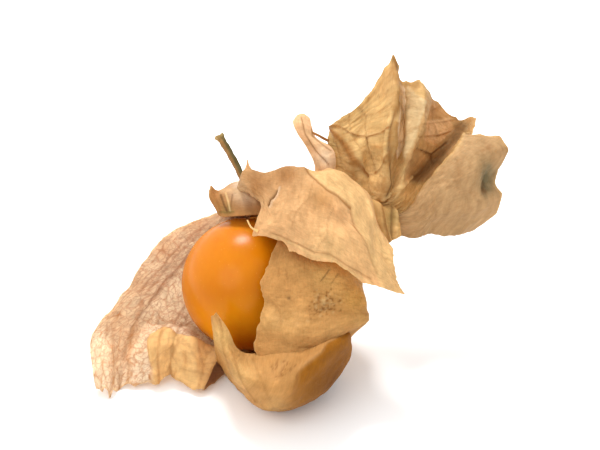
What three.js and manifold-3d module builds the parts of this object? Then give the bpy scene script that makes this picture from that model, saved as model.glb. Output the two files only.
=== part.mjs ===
// Physalis (Cape gooseberry): one ripe orange berry in its dry, papery husk.
// The husk has split open along its ribs and its lobes have spread, so the berry shows
// from the front. The fruit lies on a table, leaning back, as it was picked.
//
// Millimetres, +Z up, the table at z = 0. The origin is the middle of the bounding box,
// at table height. Solids:
//   berry  round fruit with a shallow scar at each end
//   husk   calyx grown as one sheet: cup round the stalk, lobes, bowl-shaped lower front
//   stalk  short pedicel with a flared cut end
import * as THREE from 'three';
import { mergeVertices } from 'three/addons/utils/BufferGeometryUtils.js';
import Module from 'manifold-3d';

// ---- driving dimensions -------------------------------------------------------------
const BERRY_RADIUS = 10;        // berry's widest radius
const BERRY_LENGTH = 0.985;     // berry's length along its core, as a share of its width
const LEAN_DEG = 32;            // the fruit's core leans back by this angle
const SEAT = 11.5;              // height of the berry's centre above the table
const SHEET = 0.68;             // thickness of the husk's sheet
const LIFT = 0.32;              // mid-height of the sheet where it lies on the table
const PRESS = 0.35;             // how far low parts are pressed down on the table
const CLEAR = 0.85;             // least distance from the sheet's middle to the berry
const CRUMPLE = 0.3;            // height of the sheet's dry waves
const RIB = 0.42;               // height of the creased ribs
const STALK_RADIUS = 0.56;      // stalk's radius midway
const CUP_HOLE = 1.55;          // radius of the cup's hole round the stalk
const JOIN_GAP = 0.004;         // vertices closer than this along a join become one

// ---- the fruit's own frame ----------------------------------------------------------
// Points are written as [u, v, w]: u to the right, v along the core towards the stalk,
// w out of the open side, all from the berry's centre.
const LEAN = THREE.MathUtils.degToRad(LEAN_DEG);
const SIN = Math.sin(LEAN);
const COS = Math.cos(LEAN);

const world = (p) => new THREE.Vector3(
  p[0],
  p[1] * SIN - p[2] * COS,
  SEAT + p[1] * COS + p[2] * SIN
);

// A point at u, v that lies on the table, with the sheet's middle at the given height.
const flat = (u, v, lift = LIFT) => [u, v, (lift - SEAT - v * COS) / SIN];

// ---- lobes of the husk --------------------------------------------------------------
// Each lobe is a smooth sheet through a net of points: rows run from its root at the cup
// to its free edge, and columns run across it, from one side to the other.
const LEFT = [
  [[-2.4, 11.1, -1.7], [-2.5, 11.4, -2.0], [-2.5, 11.7, -2.7], [-2.1, 11.8, -3.2],
    [-1.6, 11.8, -3.7], [-0.9, 11.8, -4.0], [0.2, 11.8, -4.2]],
  [[-6.5, 9.8, -1.8], [-6.0, 9.0, -3.2], [-5.4, 7.8, -5.4], [-4.2, 6.6, -8.2],
    [-3.0, 5.2, -10.0], [-2.0, 4.2, -11.0], [-0.6, 4.0, -11.6]],
  [[-10.9, 8.0, -1.5], [-9.8, 6.8, -5.0], [-7.8, 5.2, -8.2], [-6.6, 3.4, -9.4],
    [-5.0, 1.6, -10.6], [-3.5, 0.0, -11.4], [-1.6, -0.6, -11.8]],
  [[-14.5, 4.2, -1.2], [-12.6, 3.6, -5.2], [-9.9, 2.6, -8.4], [-8.6, 0.6, -8.8],
    [-7.0, -1.4, -9.4], [-5.0, -3.0, -9.9], [-2.6, -4.0, -10.8]],
  [[-16.9, 0.6, -0.2], [-14.9, 0.6, -4.0], [-12.2, 0.2, -7.6], [-10.6, -2.0, -7.4],
    [-8.6, -3.8, -6.9], [-6.0, -5.6, -8.0], [-3.4, -7.0, -8.6]],
  [[-19.6, -2.9, 1.6], [-17.6, -2.8, -1.8], [-15.2, -3.4, -5.4], [-12.8, -5.0, -5.2],
    [-9.8, -5.8, -4.6], [-6.8, -7.6, -5.0], [-4.0, -9.0, -5.4]],
  [[-22.8, -7.2, 3.4], [-20.4, -6.8, 1.2], [-17.6, -7.0, -1.6], [-14.2, -7.6, 1.8],
    [-10.6, -7.0, 2.8], [-6.9, -8.9, 1.8], [-4.4, -10.0, -1.0]],
  [[-22.9, -11.6, 4.6], [-20.8, -11.6, 4.2], [-18.6, -11.4, 1.6], [-15.0, -11.6, 3.4],
    [-11.4, -10.8, 3.2], [-7.2, -12.2, 3.0], [-3.8, -11.8, 0.8]],
  [flat(-21.9, -16.4), flat(-20.3, -16.8), flat(-18.9, -16.0), flat(-15.4, -15.0),
    flat(-11.4, -13.8), flat(-7.2, -15.7), flat(-3.4, -13.6)]];

const FRONT = [
  [[1.6, 11.6, 4.2], [2.6, 11.8, 3.2], [3.4, 11.8, 2.2], [4.0, 11.6, 1.0],
    [4.2, 11.4, 0.0], [4.2, 11.2, -1.0], [3.8, 11.2, -2.0]],
  [[4.2, 8.2, 8.6], [7.0, 8.4, 8.2], [9.8, 8.2, 6.4], [11.8, 7.8, 3.6],
    [12.6, 7.4, 0.4], [12.2, 7.0, -3.0], [9.8, 6.8, -6.2]],
  [[2.8, 3.8, 10.9], [6.8, 3.6, 12.4], [11.2, 3.2, 11.4], [15.2, 2.6, 8.2],
    [15.8, 2.2, 3.4], [15.2, 1.8, -2.0], [11.9, 1.4, -7.2]],
  [[1.4, 0.2, 11.4], [6.6, 0.0, 13.4], [11.8, -0.2, 12.6], [16.0, -0.4, 9.4],
    [16.2, -0.8, 4.2], [15.9, -1.4, -1.6], [12.5, -2.0, -7.2]],
  [[2.0, -3.0, 11.9], [6.6, -3.4, 14.2], [11.8, -3.2, 13.4], [16.6, -3.2, 10.2],
    [16.0, -4.0, 5.2], [15.2, -5.0, -0.6], [11.9, -6.0, -5.8]],
  [[0.6, -7.0, 12.6], [6.2, -6.8, 15.4], [11.6, -6.0, 14.4], [17.0, -5.2, 11.2],
    [14.2, -6.9, 5.6], [13.2, -8.4, 0.6], [10.7, -8.9, -4.2]],
  [[1.0, -10.8, 12.8], [6.0, -10.6, 15.6], [10.8, -9.2, 14.2], [13.4, -7.8, 10.2],
    [12.8, -11.2, 5.4], [11.8, -12.4, 1.2], [9.4, -11.2, -3.0]]];

const BOWL = [
  [[-4.6, -3.9, 12.0], [-2.9, -6.3, 13.0], [-1.5, -9.1, 13.4], [0.9, -9.8, 12.6],
    [5.7, -8.7, 14.3], [10.4, -7.9, 13.5], [13.4, -6.4, 10.7], [13.0, -6.2, 8.4]],
  [[-4.9, -4.3, 12.6], [-3.8, -7.4, 14.0], [-2.3, -10.6, 15.6], [0.6, -13.0, 17.4],
    [5.0, -13.6, 19.2], [10.2, -10.6, 18.0], [14.4, -7.8, 12.0], [13.4, -7.2, 7.8]],
  [[-5.2, -4.4, 12.3], [-4.6, -7.6, 12.6], [-3.2, -10.9, 13.2], [-0.8, -14.7, 14.4],
    [3.2, -17.3, 14.8], [9.6, -15.2, 14.2], [14.4, -10.2, 9.8], [13.6, -8.6, 6.2]],
  [[-5.2, -4.8, 11.9], [-4.6, -8.0, 11.0], [-3.2, -11.6, 10.2], [-0.8, -15.4, 9.8],
    [3.4, -18.0, 9.6], [9.8, -16.4, 9.0], [13.9, -11.8, 6.4], [13.0, -9.6, 3.4]],
  [[-5.1, -5.2, 11.5], [-4.5, -8.6, 9.4], [-3.2, -12.4, 7.0], flat(-1.2, -15.3),
    flat(2.6, -16.5), flat(8.0, -15.9), [12.6, -12.8, 2.4], [11.8, -10.4, 0.0]],
  [[-5.0, -5.8, 11.1], [-4.5, -9.4, 7.4], flat(-3.2, -13.6), flat(-1.6, -14.0),
    flat(1.8, -13.9), flat(6.8, -13.4), [10.8, -11.6, -1.6], [10.2, -9.8, -3.0]],
  [[-5.0, -6.6, 10.0], [-4.8, -10.6, 3.4], flat(-3.6, -12.4), flat(-1.8, -11.9),
    flat(1.2, -11.5), flat(5.2, -11.2), [8.4, -10.4, -3.8], [8.4, -9.4, -5.0]]];

const TOP = [
  [[-1.8, 13.9, 2.6], [-1.9, 14.0, 2.2], [-1.9, 14.0, 1.8], [-1.8, 13.9, 1.3],
    [-1.7, 13.8, 0.8], [-1.5, 13.6, 0.5]],
  [[0.2, 13.1, 6.8], [-0.3, 13.8, 6.6], [-0.7, 14.6, 6.0], [-0.8, 15.7, 4.9],
    [-0.5, 16.5, 3.4], [0.2, 14.4, 0.8]],
  [[2.0, 11.0, 9.9], [1.6, 12.3, 9.8], [1.4, 13.6, 8.9], [1.4, 14.9, 7.0],
    [1.9, 16.1, 4.4], [2.4, 13.7, 1.0]],
  [[0.9, 7.9, 11.2], [2.9, 9.3, 11.7], [3.6, 11.6, 11.2], [3.8, 14.2, 9.2],
    [3.8, 16.7, 5.2], [4.4, 13.4, 1.2]],
  [[4.8, 6.0, 12.8], [5.2, 8.6, 13.4], [5.8, 11.4, 12.6], [6.2, 14.2, 10.4],
    [6.2, 17.0, 5.8], [6.8, 14.4, 2.0]],
  [[8.3, 3.6, 14.0], [8.6, 6.8, 14.2], [8.6, 10.6, 13.2], [8.7, 14.4, 11.6],
    [8.9, 16.3, 7.2], [9.2, 15.0, 3.6]],
  [[12.4, 2.6, 14.6], [12.2, 6.2, 14.8], [11.9, 9.8, 13.8], [12.0, 13.0, 12.8],
    [12.4, 15.8, 9.0], [12.3, 16.9, 5.4]],
  [[16.2, 0.3, 14.2], [15.8, 4.0, 14.6], [15.4, 7.4, 14.0], [15.2, 10.2, 13.4],
    [16.4, 12.6, 9.8], [16.9, 13.4, 6.2]],
  [[19.4, -0.8, 12.8], [18.8, 1.8, 13.4], [18.2, 4.0, 13.2], [17.4, 5.8, 12.8],
    [18.8, 7.6, 10.2], [18.9, 8.2, 7.4]],
  [[22.3, -1.4, 10.6], [21.7, -0.2, 11.4], [21.2, 1.2, 11.6], [20.8, 2.6, 11.2],
    [20.9, 4.0, 10.4], [20.8, 5.2, 9.4]]];

const CROWN = [
  [[0.6, 13.0, -2.8], [1.0, 13.0, -2.9], [1.4, 13.0, -2.9], [1.7, 12.9, -2.9],
    [2.0, 12.9, -2.8], [2.2, 12.8, -2.7], [2.4, 12.8, -2.6], [2.6, 12.7, -2.5],
    [2.7, 12.7, -2.4], [2.8, 12.6, -2.2], [2.9, 12.6, -2.1], [3.0, 12.5, -2.0],
    [3.1, 12.5, -1.9], [3.2, 12.4, -1.7], [3.3, 12.4, -1.6], [3.4, 12.3, -1.4]],
  [[8.6, 14.4, -1.4], [9.2, 14.1, -1.3], [9.7, 13.7, -1.2], [10.2, 13.3, -1.2],
    [10.6, 12.9, -1.2], [11.0, 12.5, -1.2], [11.3, 12.1, -1.2], [11.6, 11.8, -1.2],
    [11.8, 11.5, -1.2], [12.0, 11.2, -1.2], [12.2, 10.9, -1.2], [12.4, 10.6, -1.2],
    [12.6, 10.3, -1.2], [12.7, 10.0, -1.3], [12.8, 9.6, -1.4], [12.9, 9.2, -1.6]],
  [[12.4, 15.4, -0.8], [14.6, 14.2, 0.0], [16.6, 13.0, -0.2], [18.6, 12.2, 0.6],
    [19.4, 11.8, 0.2], [20.3, 11.8, 0.6], [20.8, 11.4, 0.0], [21.2, 11.0, -0.5],
    [21.6, 10.6, -0.8], [22.0, 10.4, -0.5], [22.2, 10.3, 0.3], [22.7, 10.1, 0.9],
    [23.1, 9.7, 1.0], [23.4, 9.1, 0.8], [23.5, 8.3, 0.1], [22.8, 6.9, -1.6]],
  [[11.9, 18.2, -0.8], [15.4, 17.4, 0.8], [17.6, 17.8, -0.6], [20.2, 17.4, 1.4],
    [21.4, 17.2, -0.8], [23.0, 17.4, 1.4], [23.9, 16.8, -1.4], [24.8, 16.3, -3.0],
    [25.7, 15.9, -3.8], [26.2, 15.2, -3.0], [26.2, 15.1, 1.4], [27.4, 15.0, 2.8],
    [28.2, 14.0, 3.4], [28.2, 12.2, 3.2], [28.0, 10.0, 1.8], [26.0, 7.2, -1.6]],
  [[11.5, 20.8, -1.4], [13.6, 20.9, 0.4], [17.3, 23.2, -1.8], [21.4, 25.0, 1.0],
    [22.7, 24.4, -2.6], [25.6, 24.4, 1.4], [26.3, 22.8, -3.6], [28.0, 21.3, -6.2],
    [29.6, 21.1, -7.2], [30.4, 19.8, -5.6], [30.4, 20.0, 1.2], [32.2, 19.4, 3.0],
    [33.8, 17.4, 3.6], [33.0, 14.2, 3.4], [32.8, 11.0, 1.8], [29.8, 7.0, -3.0]],
  [[11.9, 23.1, -2.4], [12.8, 24.0, -1.0], [17.2, 27.9, -3.0], [21.1, 33.5, -4.4],
    [22.8, 30.8, -6.4], [25.2, 30.2, -2.0], [27.0, 28.0, -6.6], [30.6, 25.1, -8.8],
    [33.3, 24.7, -9.0], [33.2, 22.7, -6.0], [31.5, 22.4, -0.6], [35.2, 22.1, 0.0],
    [38.3, 20.4, 0.6], [36.5, 15.8, 0.8], [37.5, 12.0, -0.8], [33.6, 7.8, -4.8]]];

const EAR = [
  [[9.0, 13.0, -2.2], [10.4, 12.8, -2.0], [11.8, 12.8, -2.2]],
  [[9.6, 17.0, 0.4], [10.9, 17.2, 1.2], [12.6, 17.4, 0.2]],
  [[8.7, 19.4, 0.6], [10.1, 19.7, 1.7], [12.0, 19.8, 0.2]],
  [[7.2, 21.8, 0.6], [8.5, 21.7, 1.7], [9.9, 21.3, 0.4]],
  [[6.5, 23.6, -0.2], [7.7, 23.6, 1.2], [9.1, 22.9, 0.0]],
  [[7.1, 24.6, -1.2], [7.9, 24.8, -0.8], [8.8, 24.1, -1.2]]];

const CLAW = [
  [[14.8, 13.0, -1.6], [16.2, 12.0, -1.8], [17.6, 11.4, -2.0]],
  [[17.6, 12.6, 2.4], [19.2, 11.4, 2.0], [21.0, 11.0, 0.8]],
  [[17.8, 9.8, 3.4], [19.8, 9.2, 3.4], [21.8, 9.0, 1.4]],
  [[18.6, 7.4, 3.4], [20.2, 7.4, 3.6], [22.0, 7.8, 2.0]],
  [[19.8, 6.0, 2.8], [20.9, 6.2, 3.2], [22.0, 6.9, 2.2]]];

const CURL = [
  [[2.6, 14.2, 1.6], [2.8, 12.2, 4.4], [2.8, 10.2, 6.2]],
  [[-0.2, 15.0, 1.8], [-0.4, 12.7, 4.4], [-0.4, 9.9, 5.8]],
  [[-2.4, 14.8, 1.6], [-2.8, 12.6, 3.9], [-2.6, 9.7, 5.0]],
  [[-4.4, 13.6, 1.6], [-4.7, 12.2, 3.2], [-4.1, 9.7, 3.9]],
  [[-5.9, 14.2, 1.6], [-6.0, 12.8, 2.3], [-4.7, 10.6, 3.1]]];

const BACK = [
  [[-1.8, 11.8, -2.6], [-0.6, 12.1, -3.4], [1.0, 12.1, -3.6], [2.6, 11.8, -3.2],
    [3.2, 11.6, -2.6]],
  [[-4.8, 8.6, -8.4], [-2.4, 8.8, -9.6], [1.4, 8.8, -10.2], [5.6, 8.2, -9.0],
    [9.4, 7.0, -4.6]],
  [[-6.8, 3.6, -11.2], [-3.0, 3.8, -13.0], [2.0, 3.8, -13.6], [7.2, 3.4, -12.0],
    [11.2, 2.4, -5.2]],
  [[-7.2, -1.4, -11.4], [-3.2, -1.4, -13.6], [2.2, -1.4, -14.4], [7.6, -1.6, -12.6],
    [11.2, -2.0, -5.0]],
  [[-6.8, -6.0, -9.6], flat(-3.0, -5.6), flat(2.2, -5.6), flat(7.2, -5.8),
    [10.5, -6.2, -4.0]],
  [[-6.0, -9.4, -5.0], flat(-2.8, -9.0, 0.4), flat(1.8, -9.2, 0.4),
    flat(6.0, -9.0, 0.4), [9.3, -8.9, -3.5]],
  [[-5.2, -12.0, -1.2], flat(-2.6, -12.6, 1.25), flat(1.2, -12.6, 1.25),
    flat(5.0, -12.0, 1.25), flat(8.2, -11.0, 1.4)]];

// ---- smooth sheets ------------------------------------------------------------------
// Place on a uniform Catmull-Rom curve through the values, which runs straight on past
// its ends, so its end tangents follow the last two values.
function spline(values, t) {
  const last = values.length - 1;
  const i = Math.min(Math.max(Math.floor(t), 0), last - 1);
  const f = t - i;
  const at = (k) => {
    if (k < 0) return values[0].map((x, a) => 2 * x - values[1][a]);
    if (k > last) return values[last].map((x, a) => 2 * x - values[last - 1][a]);
    return values[k];
  };
  const weights = [
    (-f + 2 * f * f - f * f * f) / 2,
    (2 - 5 * f * f + 3 * f * f * f) / 2,
    (f + 4 * f * f - 3 * f * f * f) / 2,
    (-f * f + f * f * f) / 2
  ];
  const points = [at(i - 1), at(i), at(i + 1), at(i + 2)];
  return [0, 1, 2].map((a) => points.reduce((sum, p, k) => sum + weights[k] * p[a], 0));
}

const netPoint = (net, row, column) => spline(net.map((line) => spline(line, column)), row);

const smooth = (a, b, x) => THREE.MathUtils.smoothstep(x, a, b);

// Torn edge: how far the rim is worn back, from 0 to 1, at a place along it.
function tear(x) {
  const wave = Math.abs(Math.sin(1.9 * x + 0.6)) + Math.abs(Math.sin(4.3 * x + 1.1));
  return wave / 2;
}

// Low waves of the dry sheet, from -1 to 1, by place in the fruit's frame.
function crumple([u, v, w]) {
  const a = Math.sin(0.83 * u + 0.41 * v + 0.3 * w + 0.7);
  const b = Math.sin(0.37 * u - 0.79 * v + 0.52 * w + 2.1);
  const c = Math.sin(0.95 * v + 0.71 * w - 0.33 * u);
  return 0.6 * a * b + 0.4 * c;
}

// Keeps a point of the sheet's middle clear of the berry, and presses it flat where it
// comes near the table.
function keepClear(point) {
  const centre = new THREE.Vector3(0, 0, SEAT);
  const out = point.clone().sub(centre);
  const least = BERRY_RADIUS + CLEAR;
  if (out.length() < least) point.copy(out.setLength(least).add(centre));
  const height = Math.max(point.z - LIFT, 0);
  point.z = LIFT + Math.max(height - PRESS * Math.exp(-height), 0);
  return point;
}

// Grid of middle points of a lobe. Options: ribs (columns that stand up as creases, each at
// the root and at the free edge), fray (how much of the last row's span is worn back),
// calm (flat near the root), waves (share of the full crumple).
function grid(net, rows, columns, options) {
  const { ribs = [], fray = 0.25, waves = 1, calm = 0.25 } = options;
  const rowSpan = net.length - 1;
  const columnSpan = net[0].length - 1;
  const flatPoints = [];
  const bumps = [];
  for (let i = 0; i <= rows; i += 1) {
    const pointLine = [];
    const bumpLine = [];
    for (let j = 0; j <= columns; j += 1) {
      const column = (j / columns) * columnSpan;
      const row = (i / rows) * (rowSpan - fray * tear(column));
      const place = netPoint(net, row, column);
      const near = Math.min(...ribs.map(([root, tip]) => (
        Math.abs(THREE.MathUtils.lerp(root, tip, row / rowSpan) - column)
      )), 9);
      const share = smooth(0, calm, i / rows);
      const crease = RIB * Math.max(0, 1 - near / 0.45);
      pointLine.push(world(place));
      bumpLine.push(share * (CRUMPLE * waves * crumple(place) + crease));
    }
    flatPoints.push(pointLine);
    bumps.push(bumpLine);
  }
  const normals = gridNormals(flatPoints);
  return flatPoints.map((line, i) => line.map((point, j) => {
    const moved = point.clone().addScaledVector(normals[i][j], bumps[i][j]);
    return keepClear(moved);
  }));
}

function gridNormals(points) {
  const clampedRow = (i) => points[THREE.MathUtils.clamp(i, 0, points.length - 1)];
  return points.map((line, i) => line.map((point, j) => {
    const left = line[Math.max(j - 1, 0)];
    const right = line[Math.min(j + 1, line.length - 1)];
    const down = clampedRow(i - 1)[j];
    const up = clampedRow(i + 1)[j];
    const across = right.clone().sub(left);
    const along = up.clone().sub(down);
    return across.cross(along).normalize();
  }));
}

// Closed solid of a grid of middle points, with both faces split into the same triangles.
function sheetSolid(points, thickness = SHEET) {
  const normals = gridNormals(points);
  const rows = points.length;
  const columns = points[0].length;
  const positions = [];
  [1, -1].forEach((side) => {
    points.forEach((line, i) => line.forEach((point, j) => {
      const p = point.clone().addScaledVector(normals[i][j], side * thickness / 2);
      positions.push(p.x, p.y, p.z);
    }));
  });
  const top = (i, j) => i * columns + j;
  const bottom = (i, j) => rows * columns + top(i, j);
  const faces = [];
  for (let i = 0; i < rows - 1; i += 1) {
    for (let j = 0; j < columns - 1; j += 1) {
      const [a, b] = [top(i, j), top(i, j + 1)];
      const [c, d] = [top(i + 1, j + 1), top(i + 1, j)];
      const shift = rows * columns;
      const first = points[i][j].distanceTo(points[i + 1][j + 1]);
      const second = points[i][j + 1].distanceTo(points[i + 1][j]);
      const pair = first < second ? [[a, b, c], [a, c, d]] : [[a, b, d], [b, c, d]];
      pair.forEach(([x, y, z]) => {
        faces.push(x, y, z);
        faces.push(x + shift, z + shift, y + shift);
      });
    }
  }
  const wall = (p, q) => {
    faces.push(top(...q), top(...p), bottom(...p));
    faces.push(top(...q), bottom(...p), bottom(...q));
  };
  for (let j = 0; j < columns - 1; j += 1) {
    wall([0, j], [0, j + 1]);
    wall([rows - 1, j + 1], [rows - 1, j]);
  }
  for (let i = 0; i < rows - 1; i += 1) {
    wall([i + 1, 0], [i, 0]);
    wall([i, columns - 1], [i + 1, columns - 1]);
  }
  const geometry = new THREE.BufferGeometry();
  geometry.setAttribute('position', new THREE.Float32BufferAttribute(positions, 3));
  geometry.setIndex(faces);
  return geometry;
}

// ---- joining ------------------------------------------------------------------------
const wasm = await Module();
wasm.setup();

function toSolid(geometry, gap = 1e-4) {
  const bare = geometry.clone();
  bare.deleteAttribute('normal');
  bare.deleteAttribute('uv');
  const merged = mergeVertices(bare, gap);
  const solid = new wasm.Manifold(new wasm.Mesh({
    numProp: 3,
    vertProperties: new Float32Array(merged.attributes.position.array),
    triVerts: new Uint32Array(merged.index.array)
  }));
  if (solid.volume() > 0) return solid;
  const turned = new Uint32Array(merged.index.array);
  for (let i = 0; i < turned.length; i += 3) {
    [turned[i + 1], turned[i + 2]] = [turned[i + 2], turned[i + 1]];
  }
  return new wasm.Manifold(new wasm.Mesh({
    numProp: 3,
    vertProperties: new Float32Array(merged.attributes.position.array),
    triVerts: turned
  }));
}

function toGeometry(solid) {
  const mesh = solid.getMesh();
  const geometry = new THREE.BufferGeometry();
  const positions = new Float32Array(mesh.numVert * 3);
  for (let i = 0; i < mesh.numVert; i += 1) {
    for (let a = 0; a < 3; a += 1) {
      positions[3 * i + a] = mesh.vertProperties[mesh.numProp * i + a];
    }
  }
  geometry.setAttribute('position', new THREE.BufferAttribute(positions, 3));
  geometry.setIndex(new THREE.BufferAttribute(new Uint32Array(mesh.triVerts), 1));
  geometry.computeVertexNormals();
  return geometry;
}

// Turns a shape made round +Y, the core's direction, into the leaning fruit's place.
function leanBack(geometry) {
  const basis = new THREE.Matrix4().makeBasis(
    new THREE.Vector3(1, 0, 0),
    new THREE.Vector3(0, SIN, COS),
    new THREE.Vector3(0, -COS, SIN)
  );
  return geometry.applyMatrix4(basis).translate(0, 0, SEAT);
}

// ---- husk ---------------------------------------------------------------------------
// Round cup at the head of the husk: a shoulder with a dimple, open round the stalk.
function cupSolid() {
  const middle = [
    [CUP_HOLE, 12.3], [1.9, 13.2], [2.8, 13.8], [3.9, 13.3], [4.9, 12.1], [5.6, 10.9], [6.1, 9.8]
  ].map(([r, v]) => new THREE.Vector2(r, v));
  const outer = [];
  const inner = [];
  middle.forEach((point, i) => {
    const before = middle[Math.max(i - 1, 0)];
    const after = middle[Math.min(i + 1, middle.length - 1)];
    const along = after.clone().sub(before).normalize();
    const side = new THREE.Vector2(-along.y, along.x).multiplyScalar(SHEET / 2);
    outer.push(point.clone().add(side));
    inner.push(point.clone().sub(side));
  });
  const profile = [...inner, ...outer.reverse(), inner[0]];
  const cup = new THREE.LatheGeometry(profile, 22);
  return leanBack(cup.translate(0, 0, -0.6));
}

const lobes = [
  grid(LEFT, 19, 14, { ribs: [[2, 2], [4, 4]], fray: 0.3 }),
  grid(FRONT, 13, 13, { fray: 0, waves: 0.8 }),
  grid(BOWL, 12, 15, { fray: 0, waves: 0.4, calm: 0.1 }),
  grid(TOP, 18, 11, { ribs: [[7, 2.65]], fray: 0.1 }),
  grid(CROWN, 14, 33, { ribs: [[1, 1], [3, 3]], fray: 0.16, calm: 0.5 }),
  grid(EAR, 9, 3, { fray: 0, waves: 0.3 }),
  grid(CLAW, 7, 3, { fray: 0, waves: 0.3 }),
  grid(CURL, 8, 4, { fray: 0.2, waves: 0.3 }),
  grid(BACK, 12, 12, { ribs: [[1, 1], [3, 3]], fray: 0, waves: 0.5 })
];

function huskGeometry() {
  let husk = toSolid(cupSolid());
  lobes.forEach((points) => {
    husk = husk.add(toSolid(sheetSolid(points)));
  });
  // The lowest parts are pressed flat where they rest on the table.
  const below = new THREE.BoxGeometry(200, 200, 10).translate(0, 0, -5);
  husk = husk.subtract(toSolid(below));
  // Slivers along the joins are closed up, and small pockets sealed between two sheets
  // are filled: only the outer skin is kept.
  const skins = toSolid(toGeometry(husk), JOIN_GAP).decompose();
  return toGeometry(skins.sort((a, b) => b.volume() - a.volume())[0]);
}

// ---- berry --------------------------------------------------------------------------
// Nearly round, with a shallow dimple at the stalk end and a small scar at the far end.
function berryGeometry() {
  const steps = 22;
  const profile = [];
  for (let i = 0; i <= steps; i += 1) {
    const angle = (i / steps) * Math.PI - Math.PI / 2;
    const r = i === 0 || i === steps ? 0 : BERRY_RADIUS * Math.cos(angle);
    const end = Math.sin(angle) > 0 ? 0.55 : 0.25;
    const dimple = end * Math.exp(-((r / 1.5) ** 2));
    const v = Math.sin(angle) * (BERRY_RADIUS * BERRY_LENGTH - dimple);
    profile.push(new THREE.Vector2(r, v));
  }
  return leanBack(new THREE.LatheGeometry(profile, 38));
}

// ---- stalk --------------------------------------------------------------------------
// Tapering rod along a gentle curve, swollen at its foot and flared at its cut end.
function stalkGeometry() {
  const path = new THREE.CatmullRomCurve3([
    world([0.2, 11.0, -0.8]),
    world([0.0, 13.0, -1.0]),
    world([-0.9, 15.2, -1.8]),
    world([-2.4, 18.2, -3.0]),
    world([-3.7, 20.4, -3.8]),
    world([-4.6, 21.8, -4.2])
  ]);
  const rings = 22;
  const sides = 12;
  const positions = [];
  const faces = [];
  const side = new THREE.Vector3(0, 1, 0.4).normalize();
  for (let i = 0; i <= rings; i += 1) {
    const t = i / rings;
    const centre = path.getPoint(t);
    const along = path.getTangent(t);
    const across = new THREE.Vector3().crossVectors(along, side).normalize();
    const other = new THREE.Vector3().crossVectors(across, along).normalize();
    const foot = 0.24 * Math.exp(-((t / 0.12) ** 2));
    const flare = 0.2 * Math.exp(-(((1 - t) / 0.06) ** 2));
    for (let k = 0; k < sides; k += 1) {
      const angle = (k / sides) * 2 * Math.PI;
      const ridge = 1 + 0.07 * Math.cos(4 * angle + 2 * t);
      const r = (STALK_RADIUS + foot + flare) * ridge;
      const p = centre.clone()
        .addScaledVector(across, r * Math.cos(angle))
        .addScaledVector(other, r * Math.sin(angle));
      positions.push(p.x, p.y, p.z);
    }
  }
  const foot = path.getPoint(0);
  const tip = path.getPoint(1);
  positions.push(foot.x, foot.y, foot.z, tip.x, tip.y, tip.z);
  const footIndex = (rings + 1) * sides;
  for (let k = 0; k < sides; k += 1) {
    const next = (k + 1) % sides;
    for (let i = 0; i < rings; i += 1) {
      const a = i * sides + k;
      const b = i * sides + next;
      faces.push(a, b, b + sides, a, b + sides, a + sides);
    }
    faces.push(footIndex, next, k);
    faces.push(footIndex + 1, rings * sides + k, rings * sides + next);
  }
  const geometry = new THREE.BufferGeometry();
  geometry.setAttribute('position', new THREE.Float32BufferAttribute(positions, 3));
  geometry.setIndex(faces);
  return toGeometry(toSolid(geometry));
}

// ---- the part -----------------------------------------------------------------------
const fruit = new THREE.Group();

function addNode(name, geometry, color, roughness) {
  const material = new THREE.MeshStandardMaterial({ color, roughness, metalness: 0 });
  const mesh = new THREE.Mesh(geometry, material);
  mesh.name = name;
  fruit.add(mesh);
}

addNode('berry', berryGeometry(), 0xec8f24, 0.25);
addNode('husk', huskGeometry(), 0xd9a566, 0.75);
addNode('stalk', stalkGeometry(), 0x6b5a2a, 0.8);

// The origin goes to the middle of the bounding box, at table height.
const box = new THREE.Box3().setFromObject(fruit, true);
const middle = box.getCenter(new THREE.Vector3());
fruit.position.set(-middle.x, -middle.y, -box.min.z);

const part = new THREE.Group();
part.add(fruit);

export default part;
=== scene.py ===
"""Physalis berry in its dry husk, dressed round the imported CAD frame.

The husk's lobes are the smooth sheets of the part's source, made again with finer grids: thin
paper with sharp creases, torn edges, raised veins and a net of small cells. Colour, veins and
net are painted on the vertices by place, and fine noise in the materials does the rest.
"""

import math
from types import SimpleNamespace

import bmesh
import bpy
import numpy as np
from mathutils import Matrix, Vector


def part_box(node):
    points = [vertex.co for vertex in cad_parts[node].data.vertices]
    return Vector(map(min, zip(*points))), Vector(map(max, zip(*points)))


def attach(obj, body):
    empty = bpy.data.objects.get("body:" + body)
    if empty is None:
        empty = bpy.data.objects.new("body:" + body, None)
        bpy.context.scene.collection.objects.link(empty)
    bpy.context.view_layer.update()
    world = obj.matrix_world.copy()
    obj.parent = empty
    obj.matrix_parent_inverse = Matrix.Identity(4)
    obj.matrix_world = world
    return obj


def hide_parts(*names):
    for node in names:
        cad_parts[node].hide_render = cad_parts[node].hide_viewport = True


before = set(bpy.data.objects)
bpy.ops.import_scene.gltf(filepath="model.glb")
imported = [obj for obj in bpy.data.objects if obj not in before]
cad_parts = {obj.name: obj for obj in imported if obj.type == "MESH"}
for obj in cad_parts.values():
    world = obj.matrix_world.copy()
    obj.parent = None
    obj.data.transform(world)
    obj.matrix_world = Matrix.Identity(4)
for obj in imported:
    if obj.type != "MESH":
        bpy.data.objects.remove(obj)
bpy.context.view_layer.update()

# ---- sizes, in millimetres, and where said in rows or columns of a net ----
MM = 0.001
BERRY_RADIUS = 10.0
BERRY_LENGTH = 0.985            # half of its length, in radii
LEAN = math.radians(32)         # the fruit's core leans back by this angle
SEAT = 11.5                     # height of the berry's centre above the table
CAD_LIFT = 0.32                 # mid-height of the CAD's thicker sheet on the table
SHEET = 0.2                     # thickness of the dry paper
LIFT = SHEET / 2 + 0.01         # mid-height of the paper on the table
SETTLE = 1.5                    # height over which the paper sinks from CAD_LIFT to LIFT
CLEAR = 0.75                    # least distance from the paper to the berry
CRUMPLE = 0.3                   # height of the CAD's waves
RIB = 0.42                      # height of the CAD's creased ribs
RIB_REACH = 0.45                # half-width of those ribs, in columns of the net
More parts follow.
